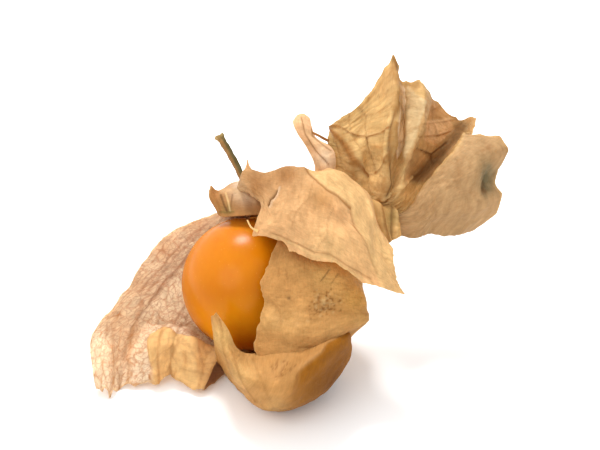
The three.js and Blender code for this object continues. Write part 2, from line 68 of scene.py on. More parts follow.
RIB_VEIN = (0.2, 0.09)          # half-width and height of the vein on a rib
SIDE_VEIN = (0.15, 0.05)        # the same for the veins that branch off it
VEIN_GAP = 3.4                  # distance between those branches along a rib
VEIN_SLOPE = 0.85               # how steeply they run up from it
VEIN_TILT = 0.76                # about the cosine of that slope
VEIN_FADE = 7                   # distance from the rib over which they fade
BRANCHED = 5                    # columns from the rib within which they run
NET_THREAD = 0.085              # half-width of the threads between the small cells
BARE_ROOT = (0.04, 0.2)         # shares of a lobe's length between which its net begins
LARGE_FOLD, SMALL_FOLD, WRINKLE = 3.4, 1.2, 1.4     # sizes of the sharp folds
CRISP = 0.15                    # half-width of a panel's border
RIM_HIGHLIGHT = (0.5, 0.3)           # strength and width of the painted highlight along a lobe's torn edges
DOT_DEPTH = 0.05                # depth of the painted dots
HIDDEN = -9.5                   # w behind which only soft spots are drawn
FACING = (0.05, 0.3)            # cosines between which a face turns to the viewer
NOISE_STEP = 13.0               # how far apart the lobes lie in the materials' noise
BERRY_DIMPLES = (0.55, 0.25)    # depth at the stalk and at the free end
DIMPLE_REACH = 1.5
BERRY_SWELL = 0.05              # height of its three soft swells
CUP_RIBS = 10                   # ribs round the cup
CUP_VEIN = 0.1                  # half-width of their veins, in halves of their gap
CUP_FRONT = (0.05, 0.15), (0.66, 0.56)      # where its worn front begins and ends round it
SIDE_WEAR = 0.2                 # share of a lobe's length over which its sides' wear begins
FAR = 99.0                      # farther than anything on the fruit
SHARP = math.radians(50)        # edges bent more than this are shaded as sharp
OUTWARD = np.array([0, -math.cos(LEAN), math.sin(LEAN)])    # the fruit's w axis in the world
EXPORT_MAP = "OFBake"           # name of the UV map laid on each piece
UV_EDGE = 0.01                  # margin round that map
UV_SPAN = 1 - 2 * UV_EDGE
UV_HALF = np.array([0.47, UV_SPAN])     # one face of a sheet on it
UV_NEXT = [0.51, 0]             # from there to the other face
UV_WALL = 0.004                 # the sheet's narrow wall on it

berry_low, berry_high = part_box("berry")
CENTRE = np.array([(berry_low.x + berry_high.x) / 2 / MM, (berry_low.y + berry_high.y) / 2 / MM,
                   SEAT])       # the berry's centre in the world


# ---- the fruit's own frame ----
# Places are [u, v, w]: u to the right, v along the core towards the stalk, w out of the open
# side, all from the berry's centre. The camera looks back along w.
def to_world(places):
    """World points, in millimetres, of places in the fruit's frame."""
    p = np.asarray(places, float)
    u, v, w = p[..., 0], p[..., 1], p[..., 2]
    return np.stack([
        u + CENTRE[0],
        v * math.sin(LEAN) - w * math.cos(LEAN) + CENTRE[1],
        SEAT + v * math.cos(LEAN) + w * math.sin(LEAN),
    ], -1)


def flat(u, v, lift=CAD_LIFT):
    """The place at u, v that lies on the table."""
    return [u, v, (lift - SEAT - v * math.cos(LEAN)) / math.sin(LEAN)]


# ---- nets of the lobes, as in the part's source ----
# Rows run from a lobe's root at the cup to its free edge, and columns run across it.
LEFT = [
  [[-2.4, 11.1, -1.7], [-2.5, 11.4, -2], [-2.5, 11.7, -2.7], [-2.1, 11.8, -3.2],
   [-1.6, 11.8, -3.7], [-0.9, 11.8, -4], [0.2, 11.8, -4.2]],
  [[-6.5, 9.8, -1.8], [-6, 9, -3.2], [-5.4, 7.8, -5.4], [-4.2, 6.6, -8.2], [-3, 5.2, -10],
   [-2, 4.2, -11], [-0.6, 4, -11.6]],
  [[-10.9, 8, -1.5], [-9.8, 6.8, -5], [-7.8, 5.2, -8.2], [-6.6, 3.4, -9.4], [-5, 1.6, -10.6],
   [-3.5, 0, -11.4], [-1.6, -0.6, -11.8]],
  [[-14.5, 4.2, -1.2], [-12.6, 3.6, -5.2], [-9.9, 2.6, -8.4], [-8.6, 0.6, -8.8], [-7, -1.4, -9.4],
   [-5, -3, -9.9], [-2.6, -4, -10.8]],
  [[-16.9, 0.6, -0.2], [-14.9, 0.6, -4], [-12.2, 0.2, -7.6], [-10.6, -2, -7.4],
   [-8.6, -3.8, -6.9], [-6, -5.6, -8], [-3.4, -7, -8.6]],
  [[-19.6, -2.9, 1.6], [-17.6, -2.8, -1.8], [-15.2, -3.4, -5.4], [-12.8, -5, -5.2],
   [-9.8, -5.8, -4.6], [-6.8, -7.6, -5], [-4, -9, -5.4]],
  [[-22.8, -7.2, 3.4], [-20.4, -6.8, 1.2], [-17.6, -7, -1.6], [-14.2, -7.6, 1.8],
   [-10.6, -7, 2.8], [-6.9, -8.9, 1.8], [-4.4, -10, -1]],
  [[-22.9, -11.6, 4.6], [-20.8, -11.6, 4.2], [-18.6, -11.4, 1.6], [-15, -11.6, 3.4],
   [-11.4, -10.8, 3.2], [-7.2, -12.2, 3], [-3.8, -11.8, 0.8]],
  [flat(-21.9, -16.4), flat(-20.3, -16.8), flat(-18.9, -16), flat(-15.4, -15), flat(-11.4, -13.8),
   flat(-7.2, -15.7), flat(-3.4, -13.6)]]
FRONT = [
  [[1.6, 11.6, 4.2], [2.6, 11.8, 3.2], [3.4, 11.8, 2.2], [4, 11.6, 1], [4.2, 11.4, 0],
   [4.2, 11.2, -1], [3.8, 11.2, -2]],
  [[4.2, 8.2, 8.6], [7, 8.4, 8.2], [9.8, 8.2, 6.4], [11.8, 7.8, 3.6], [12.6, 7.4, 0.4],
   [12.2, 7, -3], [9.8, 6.8, -6.2]],
  [[2.8, 3.8, 10.9], [6.8, 3.6, 12.4], [11.2, 3.2, 11.4], [15.2, 2.6, 8.2], [15.8, 2.2, 3.4],
   [15.2, 1.8, -2], [11.9, 1.4, -7.2]],
  [[1.4, 0.2, 11.4], [6.6, 0, 13.4], [11.8, -0.2, 12.6], [16, -0.4, 9.4], [16.2, -0.8, 4.2],
   [15.9, -1.4, -1.6], [12.5, -2, -7.2]],
  [[2, -3, 11.9], [6.6, -3.4, 14.2], [11.8, -3.2, 13.4], [16.6, -3.2, 10.2], [16, -4, 5.2],
   [15.2, -5, -0.6], [11.9, -6, -5.8]],
  [[0.6, -7, 12.6], [6.2, -6.8, 15.4], [11.6, -6, 14.4], [17, -5.2, 11.2], [14.2, -6.9, 5.6],
   [13.2, -8.4, 0.6], [10.7, -8.9, -4.2]],
  [[1, -10.8, 12.8], [6, -10.6, 15.6], [10.8, -9.2, 14.2], [13.4, -7.8, 10.2], [12.8, -11.2, 5.4],
   [11.8, -12.4, 1.2], [9.4, -11.2, -3]]]
BOWL = [
  [[-4.6, -3.9, 12], [-2.9, -6.3, 13], [-1.5, -9.1, 13.4], [0.9, -9.8, 12.6], [5.7, -8.7, 14.3],
   [10.4, -7.9, 13.5], [13.4, -6.4, 10.7], [13, -6.2, 8.4]],
  [[-4.9, -4.3, 12.6], [-3.8, -7.4, 14], [-2.3, -10.6, 15.6], [0.6, -13, 17.4], [5, -13.6, 19.2],
   [10.2, -10.6, 18], [14.4, -7.8, 12], [13.4, -7.2, 7.8]],
  [[-5.2, -4.4, 12.3], [-4.6, -7.6, 12.6], [-3.2, -10.9, 13.2], [-0.8, -14.7, 14.4],
   [3.2, -17.3, 14.8], [9.6, -15.2, 14.2], [14.4, -10.2, 9.8], [13.6, -8.6, 6.2]],
  [[-5.2, -4.8, 11.9], [-4.6, -8, 11], [-3.2, -11.6, 10.2], [-0.8, -15.4, 9.8], [3.4, -18, 9.6],
   [9.8, -16.4, 9], [13.9, -11.8, 6.4], [13, -9.6, 3.4]],
  [[-5.1, -5.2, 11.5], [-4.5, -8.6, 9.4], [-3.2, -12.4, 7], flat(-1.2, -15.3), flat(2.6, -16.5),
   flat(8, -15.9), [12.6, -12.8, 2.4], [11.8, -10.4, 0]],
  [[-5, -5.8, 11.1], [-4.5, -9.4, 7.4], flat(-3.2, -13.6), flat(-1.6, -14), flat(1.8, -13.9),
   flat(6.8, -13.4), [10.8, -11.6, -1.6], [10.2, -9.8, -3]],
  [[-5, -6.6, 10], [-4.8, -10.6, 3.4], flat(-3.6, -12.4), flat(-1.8, -11.9), flat(1.2, -11.5),
   flat(5.2, -11.2), [8.4, -10.4, -3.8], [8.4, -9.4, -5]]]
TOP = [
  [[-1.8, 13.9, 2.6], [-1.9, 14, 2.2], [-1.9, 14, 1.8], [-1.8, 13.9, 1.3], [-1.7, 13.8, 0.8],
   [-1.5, 13.6, 0.5]],
  [[0.2, 13.1, 6.8], [-0.3, 13.8, 6.6], [-0.7, 14.6, 6], [-0.8, 15.7, 4.9], [-0.5, 16.5, 3.4],
   [0.2, 14.4, 0.8]],
  [[2, 11, 9.9], [1.6, 12.3, 9.8], [1.4, 13.6, 8.9], [1.4, 14.9, 7], [1.9, 16.1, 4.4],
   [2.4, 13.7, 1]],
  [[0.9, 7.9, 11.2], [2.9, 9.3, 11.7], [3.6, 11.6, 11.2], [3.8, 14.2, 9.2], [3.8, 16.7, 5.2],
   [4.4, 13.4, 1.2]],
  [[4.8, 6, 12.8], [5.2, 8.6, 13.4], [5.8, 11.4, 12.6], [6.2, 14.2, 10.4], [6.2, 17, 5.8],
   [6.8, 14.4, 2]],
  [[8.3, 3.6, 14], [8.6, 6.8, 14.2], [8.6, 10.6, 13.2], [8.7, 14.4, 11.6], [8.9, 16.3, 7.2],
   [9.2, 15, 3.6]],
  [[12.4, 2.6, 14.6], [12.2, 6.2, 14.8], [11.9, 9.8, 13.8], [12, 13, 12.8], [12.4, 15.8, 9],
   [12.3, 16.9, 5.4]],
  [[16.2, 0.3, 14.2], [15.8, 4, 14.6], [15.4, 7.4, 14], [15.2, 10.2, 13.4], [16.4, 12.6, 9.8],
   [16.9, 13.4, 6.2]],
  [[19.4, -0.8, 12.8], [18.8, 1.8, 13.4], [18.2, 4, 13.2], [17.4, 5.8, 12.8], [18.8, 7.6, 10.2],
   [18.9, 8.2, 7.4]],
  [[22.3, -1.4, 10.6], [21.7, -0.2, 11.4], [21.2, 1.2, 11.6], [20.8, 2.6, 11.2], [20.9, 4, 10.4],
   [20.8, 5.2, 9.4]]]
CROWN = [
  [[0.6, 13, -2.8], [1, 13, -2.9], [1.4, 13, -2.9], [1.7, 12.9, -2.9], [2, 12.9, -2.8],
   [2.2, 12.8, -2.7], [2.4, 12.8, -2.6], [2.6, 12.7, -2.5], [2.7, 12.7, -2.4], [2.8, 12.6, -2.2],
   [2.9, 12.6, -2.1], [3, 12.5, -2], [3.1, 12.5, -1.9], [3.2, 12.4, -1.7], [3.3, 12.4, -1.6],
   [3.4, 12.3, -1.4]],
  [[8.6, 14.4, -1.4], [9.2, 14.1, -1.3], [9.7, 13.7, -1.2], [10.2, 13.3, -1.2],
   [10.6, 12.9, -1.2], [11, 12.5, -1.2], [11.3, 12.1, -1.2], [11.6, 11.8, -1.2],
   [11.8, 11.5, -1.2], [12, 11.2, -1.2], [12.2, 10.9, -1.2], [12.4, 10.6, -1.2],
   [12.6, 10.3, -1.2], [12.7, 10, -1.3], [12.8, 9.6, -1.4], [12.9, 9.2, -1.6]],
  [[12.4, 15.4, -0.8], [14.6, 14.2, 0], [16.6, 13, -0.2], [18.6, 12.2, 0.6], [19.4, 11.8, 0.2],
   [20.3, 11.8, 0.6], [20.8, 11.4, 0], [21.2, 11, -0.5], [21.6, 10.6, -0.8], [22, 10.4, -0.5],
   [22.2, 10.3, 0.3], [22.7, 10.1, 0.9], [23.1, 9.7, 1], [23.4, 9.1, 0.8], [23.5, 8.3, 0.1],
   [22.8, 6.9, -1.6]],
  [[11.9, 18.2, -0.8], [15.4, 17.4, 0.8], [17.6, 17.8, -0.6], [20.2, 17.4, 1.4],
   [21.4, 17.2, -0.8], [23, 17.4, 1.4], [23.9, 16.8, -1.4], [24.8, 16.3, -3], [25.7, 15.9, -3.8],
   [26.2, 15.2, -3], [26.2, 15.1, 1.4], [27.4, 15, 2.8], [28.2, 14, 3.4], [28.2, 12.2, 3.2],
   [28, 10, 1.8], [26, 7.2, -1.6]],
  [[11.5, 20.8, -1.4], [13.6, 20.9, 0.4], [17.3, 23.2, -1.8], [21.4, 25, 1], [22.7, 24.4, -2.6],
   [25.6, 24.4, 1.4], [26.3, 22.8, -3.6], [28, 21.3, -6.2], [29.6, 21.1, -7.2],
   [30.4, 19.8, -5.6], [30.4, 20, 1.2], [32.2, 19.4, 3], [33.8, 17.4, 3.6], [33, 14.2, 3.4],
   [32.8, 11, 1.8], [29.8, 7, -3]],
  [[11.9, 23.1, -2.4], [12.8, 24, -1], [17.2, 27.9, -3], [21.1, 33.5, -4.4], [22.8, 30.8, -6.4],
   [25.2, 30.2, -2], [27, 28, -6.6], [30.6, 25.1, -8.8], [33.3, 24.7, -9], [33.2, 22.7, -6],
   [31.5, 22.4, -0.6], [35.2, 22.1, 0], [38.3, 20.4, 0.6], [36.5, 15.8, 0.8], [37.5, 12, -0.8],
   [33.6, 7.8, -4.8]]]
EAR = [
  [[9, 13, -2.2], [10.4, 12.8, -2], [11.8, 12.8, -2.2]],
  [[9.6, 17, 0.4], [10.9, 17.2, 1.2], [12.6, 17.4, 0.2]],
  [[8.7, 19.4, 0.6], [10.1, 19.7, 1.7], [12, 19.8, 0.2]],
  [[7.2, 21.8, 0.6], [8.5, 21.7, 1.7], [9.9, 21.3, 0.4]],
  [[6.5, 23.6, -0.2], [7.7, 23.6, 1.2], [9.1, 22.9, 0]],
  [[7.1, 24.6, -1.2], [7.9, 24.8, -0.8], [8.8, 24.1, -1.2]]]
CLAW = [
  [[14.8, 13, -1.6], [16.2, 12, -1.8], [17.6, 11.4, -2]],
  [[17.6, 12.6, 2.4], [19.2, 11.4, 2], [21, 11, 0.8]],
  [[17.8, 9.8, 3.4], [19.8, 9.2, 3.4], [21.8, 9, 1.4]],
  [[18.6, 7.4, 3.4], [20.2, 7.4, 3.6], [22, 7.8, 2]],
  [[19.8, 6, 2.8], [20.9, 6.2, 3.2], [22, 6.9, 2.2]]]
CURL = [
  [[2.6, 14.2, 1.6], [2.8, 12.2, 4.4], [2.8, 10.2, 6.2]],
  [[-0.2, 15, 1.8], [-0.4, 12.7, 4.4], [-0.4, 9.9, 5.8]],
  [[-2.4, 14.8, 1.6], [-2.8, 12.6, 3.9], [-2.6, 9.7, 5]],
  [[-4.4, 13.6, 1.6], [-4.7, 12.2, 3.2], [-4.1, 9.7, 3.9]],
  [[-5.9, 14.2, 1.6], [-6, 12.8, 2.3], [-4.7, 10.6, 3.1]]]
BACK = [
  [[-1.8, 11.8, -2.6], [-0.6, 12.1, -3.4], [1, 12.1, -3.6], [2.6, 11.8, -3.2], [3.2, 11.6, -2.6]],
  [[-4.8, 8.6, -8.4], [-2.4, 8.8, -9.6], [1.4, 8.8, -10.2], [5.6, 8.2, -9], [9.4, 7, -4.6]],
  [[-6.8, 3.6, -11.2], [-3, 3.8, -13], [2, 3.8, -13.6], [7.2, 3.4, -12], [11.2, 2.4, -5.2]],
  [[-7.2, -1.4, -11.4], [-3.2, -1.4, -13.6], [2.2, -1.4, -14.4], [7.6, -1.6, -12.6],
   [11.2, -2, -5]],
  [[-6.8, -6, -9.6], flat(-3, -5.6), flat(2.2, -5.6), flat(7.2, -5.8), [10.5, -6.2, -4]],
  [[-6, -9.4, -5], flat(-2.8, -9, 0.4), flat(1.8, -9.2, 0.4), flat(6, -9, 0.4),
   [9.3, -8.9, -3.5]],
  [[-5.2, -12, -1.2], flat(-2.6, -12.6, 1.25), flat(1.2, -12.6, 1.25), flat(5, -12, 1.25),
   flat(8.2, -11, 1.4)]]
# The cup's rings: radius, height and middle. The first hugs the stalk.
CUP_PROFILE = [[0.78, 12, -0.95], [1.75, 13.2, -0.7], [2.8, 13.8, -0.6], [3.9, 13.3, -0.6],
               [4.9, 12.1, -0.6], [5.6, 10.9, -0.6], [6.1, 9.8, -0.6]]
CUP = [[[r * math.cos(a), v, r * math.sin(a) + middle] for a in np.linspace(0, math.tau, 25)]
       for r, v, middle in CUP_PROFILE]
# Only here: a pointed scrap behind the top lobe's arch, a strand from the ear to the crown, and
# a fibre that stands off the top lobe's torn tip.
SCRAP = [[[-1, 15.4, 4.2], [0.9, 15.6, 4.4]], [[-0.75, 16.4, 4], [0.45, 16.6, 4.1]],
         [[-0.4, 17.4, 3.7], [0, 17.3, 3.7]], [[-0.3, 18.1, 3.4], [-0.15, 18.1, 3.4]]]
STRAND = [[[8.7, 22.5, 0.7], [9, 22.1, 0.7]], [[9.9, 22, 0.2], [10, 21.6, 0.2]],
          [[10.9, 21.5, -0.5], [10.9, 21.1, -0.5]], [[12, 21, -1.3], [11.9, 20.6, -1.3]]]
FIBRE = [[[-0.25, 9.3, 10.9], [-0.05, 9.3, 10.9]], [[0, 8.7, 11.1], [0.2, 8.8, 11.1]],
         [[0.4, 8.1, 11.3], [0.65, 8.2, 11.3]], [[1.3, 7.5, 11.6], [1.5, 7.9, 11.6]]]


# ---- smooth sheets ----
def with_ends(points):
    """Points along the first axis with one more at each end, straight on."""
    first, last = 2 * points[0] - points[1], 2 * points[-1] - points[-2]
    return np.concatenate([first[None], points, last[None]])


def spline_weights(t, last):
    """Index of the first of four Catmull-Rom points, and their weights, at each t."""
    i = np.clip(np.floor(t).astype(int), 0, last - 1)
    f = t - i
    return i, (
        (-f + 2 * f**2 - f**3) / 2,
        (2 - 5 * f**2 + 3 * f**3) / 2,
        (f + 4 * f**2 - 3 * f**3) / 2,
        (-f**2 + f**3) / 2,
    )


def on_net(net, row, column):
    """Places of the smooth sheet through a net, at arrays of row and column."""
    i, row_weights = spline_weights(row, net.shape[0] - 1)
    j, column_weights = spline_weights(column, net.shape[1] - 1)
    wide = np.swapaxes(with_ends(np.swapaxes(with_ends(net), 0, 1)), 0, 1)
    total = np.zeros((*row.shape, 3))
    for a, wa in enumerate(row_weights):
        for b, wb in enumerate(column_weights):
            total += (wa * wb)[..., None] * wide[i + a, j + b]
    return total


def lengths(vectors):
    return np.linalg.norm(vectors, axis=-1)


def normals_of(points, ring=False):
    """Unit normals of a grid. A ring's last column is its first again."""
    across, along = np.gradient(points, axis=1), np.gradient(points, axis=0)
    if ring:
        across[:, 0] = across[:, -1] = (points[:, 1] - points[:, -2]) / 2
    normals = np.cross(across, along)
    return normals / np.maximum(lengths(normals), 1e-9)[..., None]


def smooth(a, b, x):
    """0 where x is a, 1 where it is b, with a soft step between them."""
    t = np.clip((x - a) / (b - a), 0, 1)
    return t * t * (3 - 2 * t)


def bell(x, width):
    """1 where x is 0, fading over that width."""
    return np.exp(-(x / width) ** 2)


# ---- relief: the numbers in the sines only set where a wandering pattern runs ----
def tear(x):
    """How far the rim is worn back, from 0 to 1, as in the part's source."""
    return (np.abs(np.sin(1.9 * x + 0.6)) + np.abs(np.sin(4.3 * x + 1.1))) / 2


def crumple(p):
    """The part's low waves, from -1 to 1."""
    u, v, w = p[..., 0], p[..., 1], p[..., 2]
    a = np.sin(0.83 * u + 0.41 * v + 0.3 * w + 0.7)
    b = np.sin(0.37 * u - 0.79 * v + 0.52 * w + 2.1)
    c = np.sin(0.95 * v + 0.71 * w - 0.33 * u)
    return 0.6 * a * b + 0.4 * c


def jag(x, seed):
    """Ragged line, from 0 to 1, with teeth of 0.4 to 3 mm along x in millimetres."""
    total = np.zeros_like(x)
    for k, (size, share) in enumerate([(3.1, 0.4), (1.3, 0.3), (0.62, 0.2), (0.37, 0.1)]):
        total += share * np.abs(np.sin(x / size + 1.7 * seed + 2.3 * k + np.sin(0.7 * x / size)))
    return total


def teeth(at, listed):
    """Reach, at places along an edge, of listed sharp teeth (place, reach, half-width)."""
    return sum(reach * np.exp(-np.abs(at - place) / width) for place, reach, width in listed)


def folds(p, size, seed, count=4):
    """Flat facets meeting in sharp creases, like crushed paper, from -1 to 1."""
    rng = np.random.default_rng(seed)
    total = np.zeros(p.shape[:-1])
    for _ in range(count):
        direction = rng.normal(size=3)
        direction /= np.linalg.norm(direction)
        side = np.cross(direction, [0.3, 0.8, 0.5])
        wave = p @ direction / size + 0.35 * np.sin(p @ side / size + rng.uniform(0, 6))
        total += np.abs((wave + rng.uniform(0, 2)) % 2 - 1) * 2 - 1
    return total / count * 1.5


def wrinkles(x, y, size, seed):
    """Fine sharp ridges that run along the lobe and wander, from 0 to 1."""
    bend = 0.9 * np.sin(0.31 * y + seed) + 0.5 * np.sin(0.83 * y + 0.6 * x + 2 * seed)
    first = 1 - np.abs(np.sin(math.pi * (x + bend) / size + seed)) ** 0.7
    second = 1 - np.abs(np.sin(math.pi * (x - 0.35 * y + bend) / (1.7 * size))) ** 0.7
    fade = 0.5 + 0.5 * np.sin(0.9 * y + 0.7 * x + 3 * seed)
    return first * fade + second * (1 - fade)


def cells(x, y, size, seed, stretch=1.0, repeat=32):
    """Distances to the edge and to the middle of random cells, in cell sizes."""
    table = np.random.default_rng(seed).uniform(0.12, 0.88, (repeat, repeat, 2))
    x, y = x / size, y / (size * stretch)
    column, row = np.floor(x).astype(int), np.floor(y).astype(int)
    nearest = second = np.full(x.shape, FAR)
    for i in (-1, 0, 1):
        for j in (-1, 0, 1):
            seeds = table[(row + i) % repeat, (column + j) % repeat]
            d = np.hypot(column + j + seeds[..., 0] - x, row + i + seeds[..., 1] - y)
            second = np.minimum(second, np.maximum(nearest, d))
            nearest = np.minimum(nearest, d)
    return second - nearest, nearest


def line_distance(u, v, line):
    """Least distance in the front view from points u, v to a line of points."""
    least = np.full(u.shape, FAR)
    for (au, av), (bu, bv) in zip(line[:-1], line[1:]):
        du, dv = bu - au, bv - av
        t = np.clip(((u - au) * du + (v - av) * dv) / (du * du + dv * dv), 0, 1)
        least = np.minimum(least, np.hypot(u - au - t * du, v - av - t * dv))
    return least


def inside(u, v, outline):
    """How far points u, v lie inside an outline of the front view, in millimetres."""
    within = np.zeros(u.shape, bool)
    for (au, av), (bu, bv) in zip(outline, outline[1:] + outline[:1]):
        slope = (bu - au) / (bv - av if bv != av else 1)
        within ^= ((av > v) != (bv > v)) & (u < au + (v - av) * slope)
    off = line_distance(u, v, outline + outline[:1])
    return np.where(within, off, -off)


# ---- colours, as seen ----
def linear(red, green, blue):
    seen = np.array([red, green, blue]) / 255
    return np.where(seen <= 0.04045, seen / 12.92, ((seen + 0.055) / 1.055) ** 2.4)


def mixed(tint, colour, amount):
    """The tint with that amount of another colour over it."""
    amount = amount[..., None]
    return tint * (1 - amount) + colour * amount


OCHRE = linear(222, 184, 124)
PEACH = linear(236, 202, 160)
PALE = linear(255, 246, 234)
STRAW = linear(232, 198, 134)
BRIGHT = linear(242, 214, 160)
ROSE = linear(214, 172, 128)
SIENNA = linear(190, 140, 88)
ORANGE = linear(208, 158, 98)
BROWN = linear(160, 108, 56)
RUST = linear(184, 120, 50)
UMBER = linear(116, 82, 48)
OLIVE = linear(132, 116, 60)
MOULD = linear(120, 114, 90)
FAN = (0, 9.8)          # the crown's columns left of its last deep fold
WING = (9.9, 16)        # and right of it
BELLY_SHADE = [(15, -6), (13.4, -7.6), (11.4, -8.7), (10.4, -9.9), (7.3, -12.3), (6.1, -14.3),
               (4.6, -19), (18, -19)]       # outline of the belly's painted shade

# Each lobe's looks, drawn in the front view. base: colour. net: how strongly the small cells
# show. quilt: how far they swell between their threads. cell: their size, stretch: how many times
# as long as wide they are, and slant: how far they lean. streaks: share of straight threads along
# the lobe. pits: depth of small dents. spots: soft patches (u, v, reach, colour, strength).
# panels: areas with a crisp border (outline, colour, strength, height, share of the net left on
# them). strokes: lines (points, half-width, colour, strength, height). ridges: sharp crests
# (points, half-width, height). dots: clusters (centre, reach, count, size, colour, strength).
# Panels and strokes may end with the first and last column that they are drawn between. Heights
# are in millimetres towards the viewer.
LOOKS = {}
LOOKS["left"] = dict(
    base=PALE, net=1, quilt=0.08, cell=1.05, stretch=2.1, slant=0.35, streaks=0.4,
    spots=[(-8, 8.8, 2.4, OCHRE, 0.4), (-12.5, 5, 2.2, PEACH, 0.5), (-16.5, 0, 2.2, PEACH, 0.5),
        (-20, -4.6, 2.4, PEACH, 0.5), (-17.5, -8, 2.4, PEACH, 0.5),
        (-1.5, 11.2, 2.6, ORANGE, 0.95), (-20.5, -11, 3, PEACH, 0.3)],
    panels=[
        # painted shade: a dark brown panel where a shaded piece shows between the flap and the
        # belly
        ([(-4, -9.2), (-4.8, -10.5), (-6.6, -14.8), (-7, -17.5), (-2, -17.5), (-2, -9.2)],
         linear(150, 92, 40), 0.95, -0.3, 0.2),
        ([(-14.8, -8.2), (-13.2, -7), (-12, -6.6), (-9.8, -7.6), (-7, -8.8), (-4.6, -10),
         (-4.9, -10.7), (-6.7, -15), (-7, -17), (-15.2, -17), (-14.2, -12)],
         linear(248, 217, 158), 0.95, 0.7, 0.2)],
    strokes=[
        ([(-5.7, 8.2), (-9.7, 3.2), (-12.7, 0.4), (-15.1, -2.8)], 0.3, RUST, 0.7, -0.2),
        ([(-6.2, 9), (-10.4, 5.8), (-14, 1.8), (-16.4, -1.2)], 0.16, RUST, 0.6, 0.1),
        ([(-7.6, 7.6), (-11.4, 3.8), (-14.8, -0.4)], 0.16, RUST, 0.5, 0.1),
        ([(-15, -7.9), (-12.1, -6.5), (-9.7, -7.5), (-5.7, -9.2)], 0.2, RUST, 0.7, -0.1),
        ([(-12.4, -6.9), (-13.2, -9.6), (-14, -14.4)], 0.15, RUST, 0.5, 0.15),
        ([(-10.4, -8), (-11.4, -11.4), (-11, -13.6)], 0.14, RUST, 0.35, 0.1),
        ([(-8.2, -8.6), (-7, -12), (-7.4, -15.4)], 0.14, RUST, 0.4, 0.15),
        ([(-8.2, -1), (-11.8, -6.6)], 0.16, RUST, 0.6, 0.1),
        ([(-4.9, -3.6), (-10.4, -6.6)], 0.14, RUST, 0.6, 0.1),
        ([(-16.2, -3), (-17.4, -8), (-17.6, -14.6)], 0.3, ROSE, 0.6, 0.15),
        ([(-19.4, -4.4), (-20.4, -9), (-20, -15.8)], 0.22, ROSE, 0.5, 0.2)],
    ridges=[
        ([(-13.9, -8), (-14.4, -14.6)], 0.7, 0.45),
        ([(-8.6, -8.6), (-7.4, -15)], 0.8, 0.4),
        ([(-11.4, -7.2), (-9.6, -11), (-10.4, -14.6)], 0.6, 0.3),
        ([(-5.2, -9.6), (-7, -14.6)], 0.7, 0.3),
        ([(-21.4, -6.4), (-20.6, -16.2)], 1.3, 0.4)])
LOOKS["front"] = dict(
    base=ORANGE, net=0.1, quilt=0.03, cell=1.6, pits=0.08,
    # the bright spots at (12.6, 2.6) and (15.8, -2) are painted light that lifts the shade of the
    # top lobe and of the fold
    spots=[(12.6, 2.6, 3.4, linear(255, 216, 140), 0.8), (3.2, -5, 2.2, OCHRE, 0.5),
        (15.8, -2, 2.4, linear(236, 190, 108), 0.8), (2.4, -9.2, 2.2, ORANGE, 0.5),
        (7, -5.6, 2.6, OCHRE, 0.35), (15.8, -4.8, 1.6, OCHRE, 0.4), (12, -6.8, 2, OCHRE, 0.3)],
    strokes=[
        # painted shade: a brown line in the crease above the belly
        ([(14.3, -6.7), (12.4, -8.2), (11, -8.7), (7.3, -8.8)], 0.2, BROWN, 0.6, -0.1),
        ([(11.6, 2.2), (10.4, 0.6)], 0.12, UMBER, 0.6, -0.08),
        ([(12.8, 1.6), (11.8, 0.2)], 0.12, BROWN, 0.5, -0.05),
        ([(4.4, 2.4), (4.4, 0.8)], 0.12, BROWN, 0.5, -0.06),
        ([(5.4, 2.2), (5.6, 0.8)], 0.12, BROWN, 0.35, -0.05),
        ([(3, -1.6), (4.4, -3.4), (4.8, -5.6)], 0.14, BROWN, 0.3, 0.08)],
    ridges=[
        ([(2.4, -4), (4.4, -6.4), (9, -7.4), (14, -5.2)], 1.6, 0.35),
        ([(7, 3), (8.2, -2), (7.4, -6.4)], 1.8, 0.3)],
    dots=[
        ((11.2, -2.6), (1.9, 1.5), 70, 0.17, linear(148, 92, 36), 0.75),
        ((9.6, -4), (1.4, 0.8), 18, 0.14, BROWN, 0.7),
        ((11.2, -2.6), (2, 1.7), 40, 0.18, BRIGHT, 0.4),
        ((5.8, -1.8), (0.1, 0.1), 1, 0.22, UMBER, 0.9)])
LOOKS["bowl"] = dict(
    base=ORANGE, net=0.08, quilt=0.03, cell=1.5,
    spots=[(-3.8, -7.4, 2.2, STRAW, 0.9), (-1.2, -12.6, 2.4, OCHRE, 0.8),
        (4, -17.6, 2.4, OCHRE, 0.6), (8.8, -10.6, 2.2, BROWN, 0.35)],
    strokes=[
        ([(13.4, -7.6), (11.4, -8.7), (10.4, -9.9), (7.3, -12.3), (6.3, -14)], 0.16, UMBER, 0.4,
         0.05),
        ([(-4.2, -5), (-3.2, -10), (-1.4, -15)], 0.16, BROWN, 0.4, 0.1),
        ([(-2.4, -9.4), (-0.8, -13.4), (1, -16.6)], 0.14, BROWN, 0.4, 0.08),
        ([(0.6, -10.6), (2.4, -14), (3.6, -17.4)], 0.14, BROWN, 0.3, 0.08)],
    ridges=[
        ([(13.4, -7.6), (10.4, -9.9), (7.3, -12.3), (5.4, -15.4)], 2.2, 0.5)],
    dots=[
        ((5.2, -11.8), (1.7, 1.4), 44, 0.13, BROWN, 0.85)])
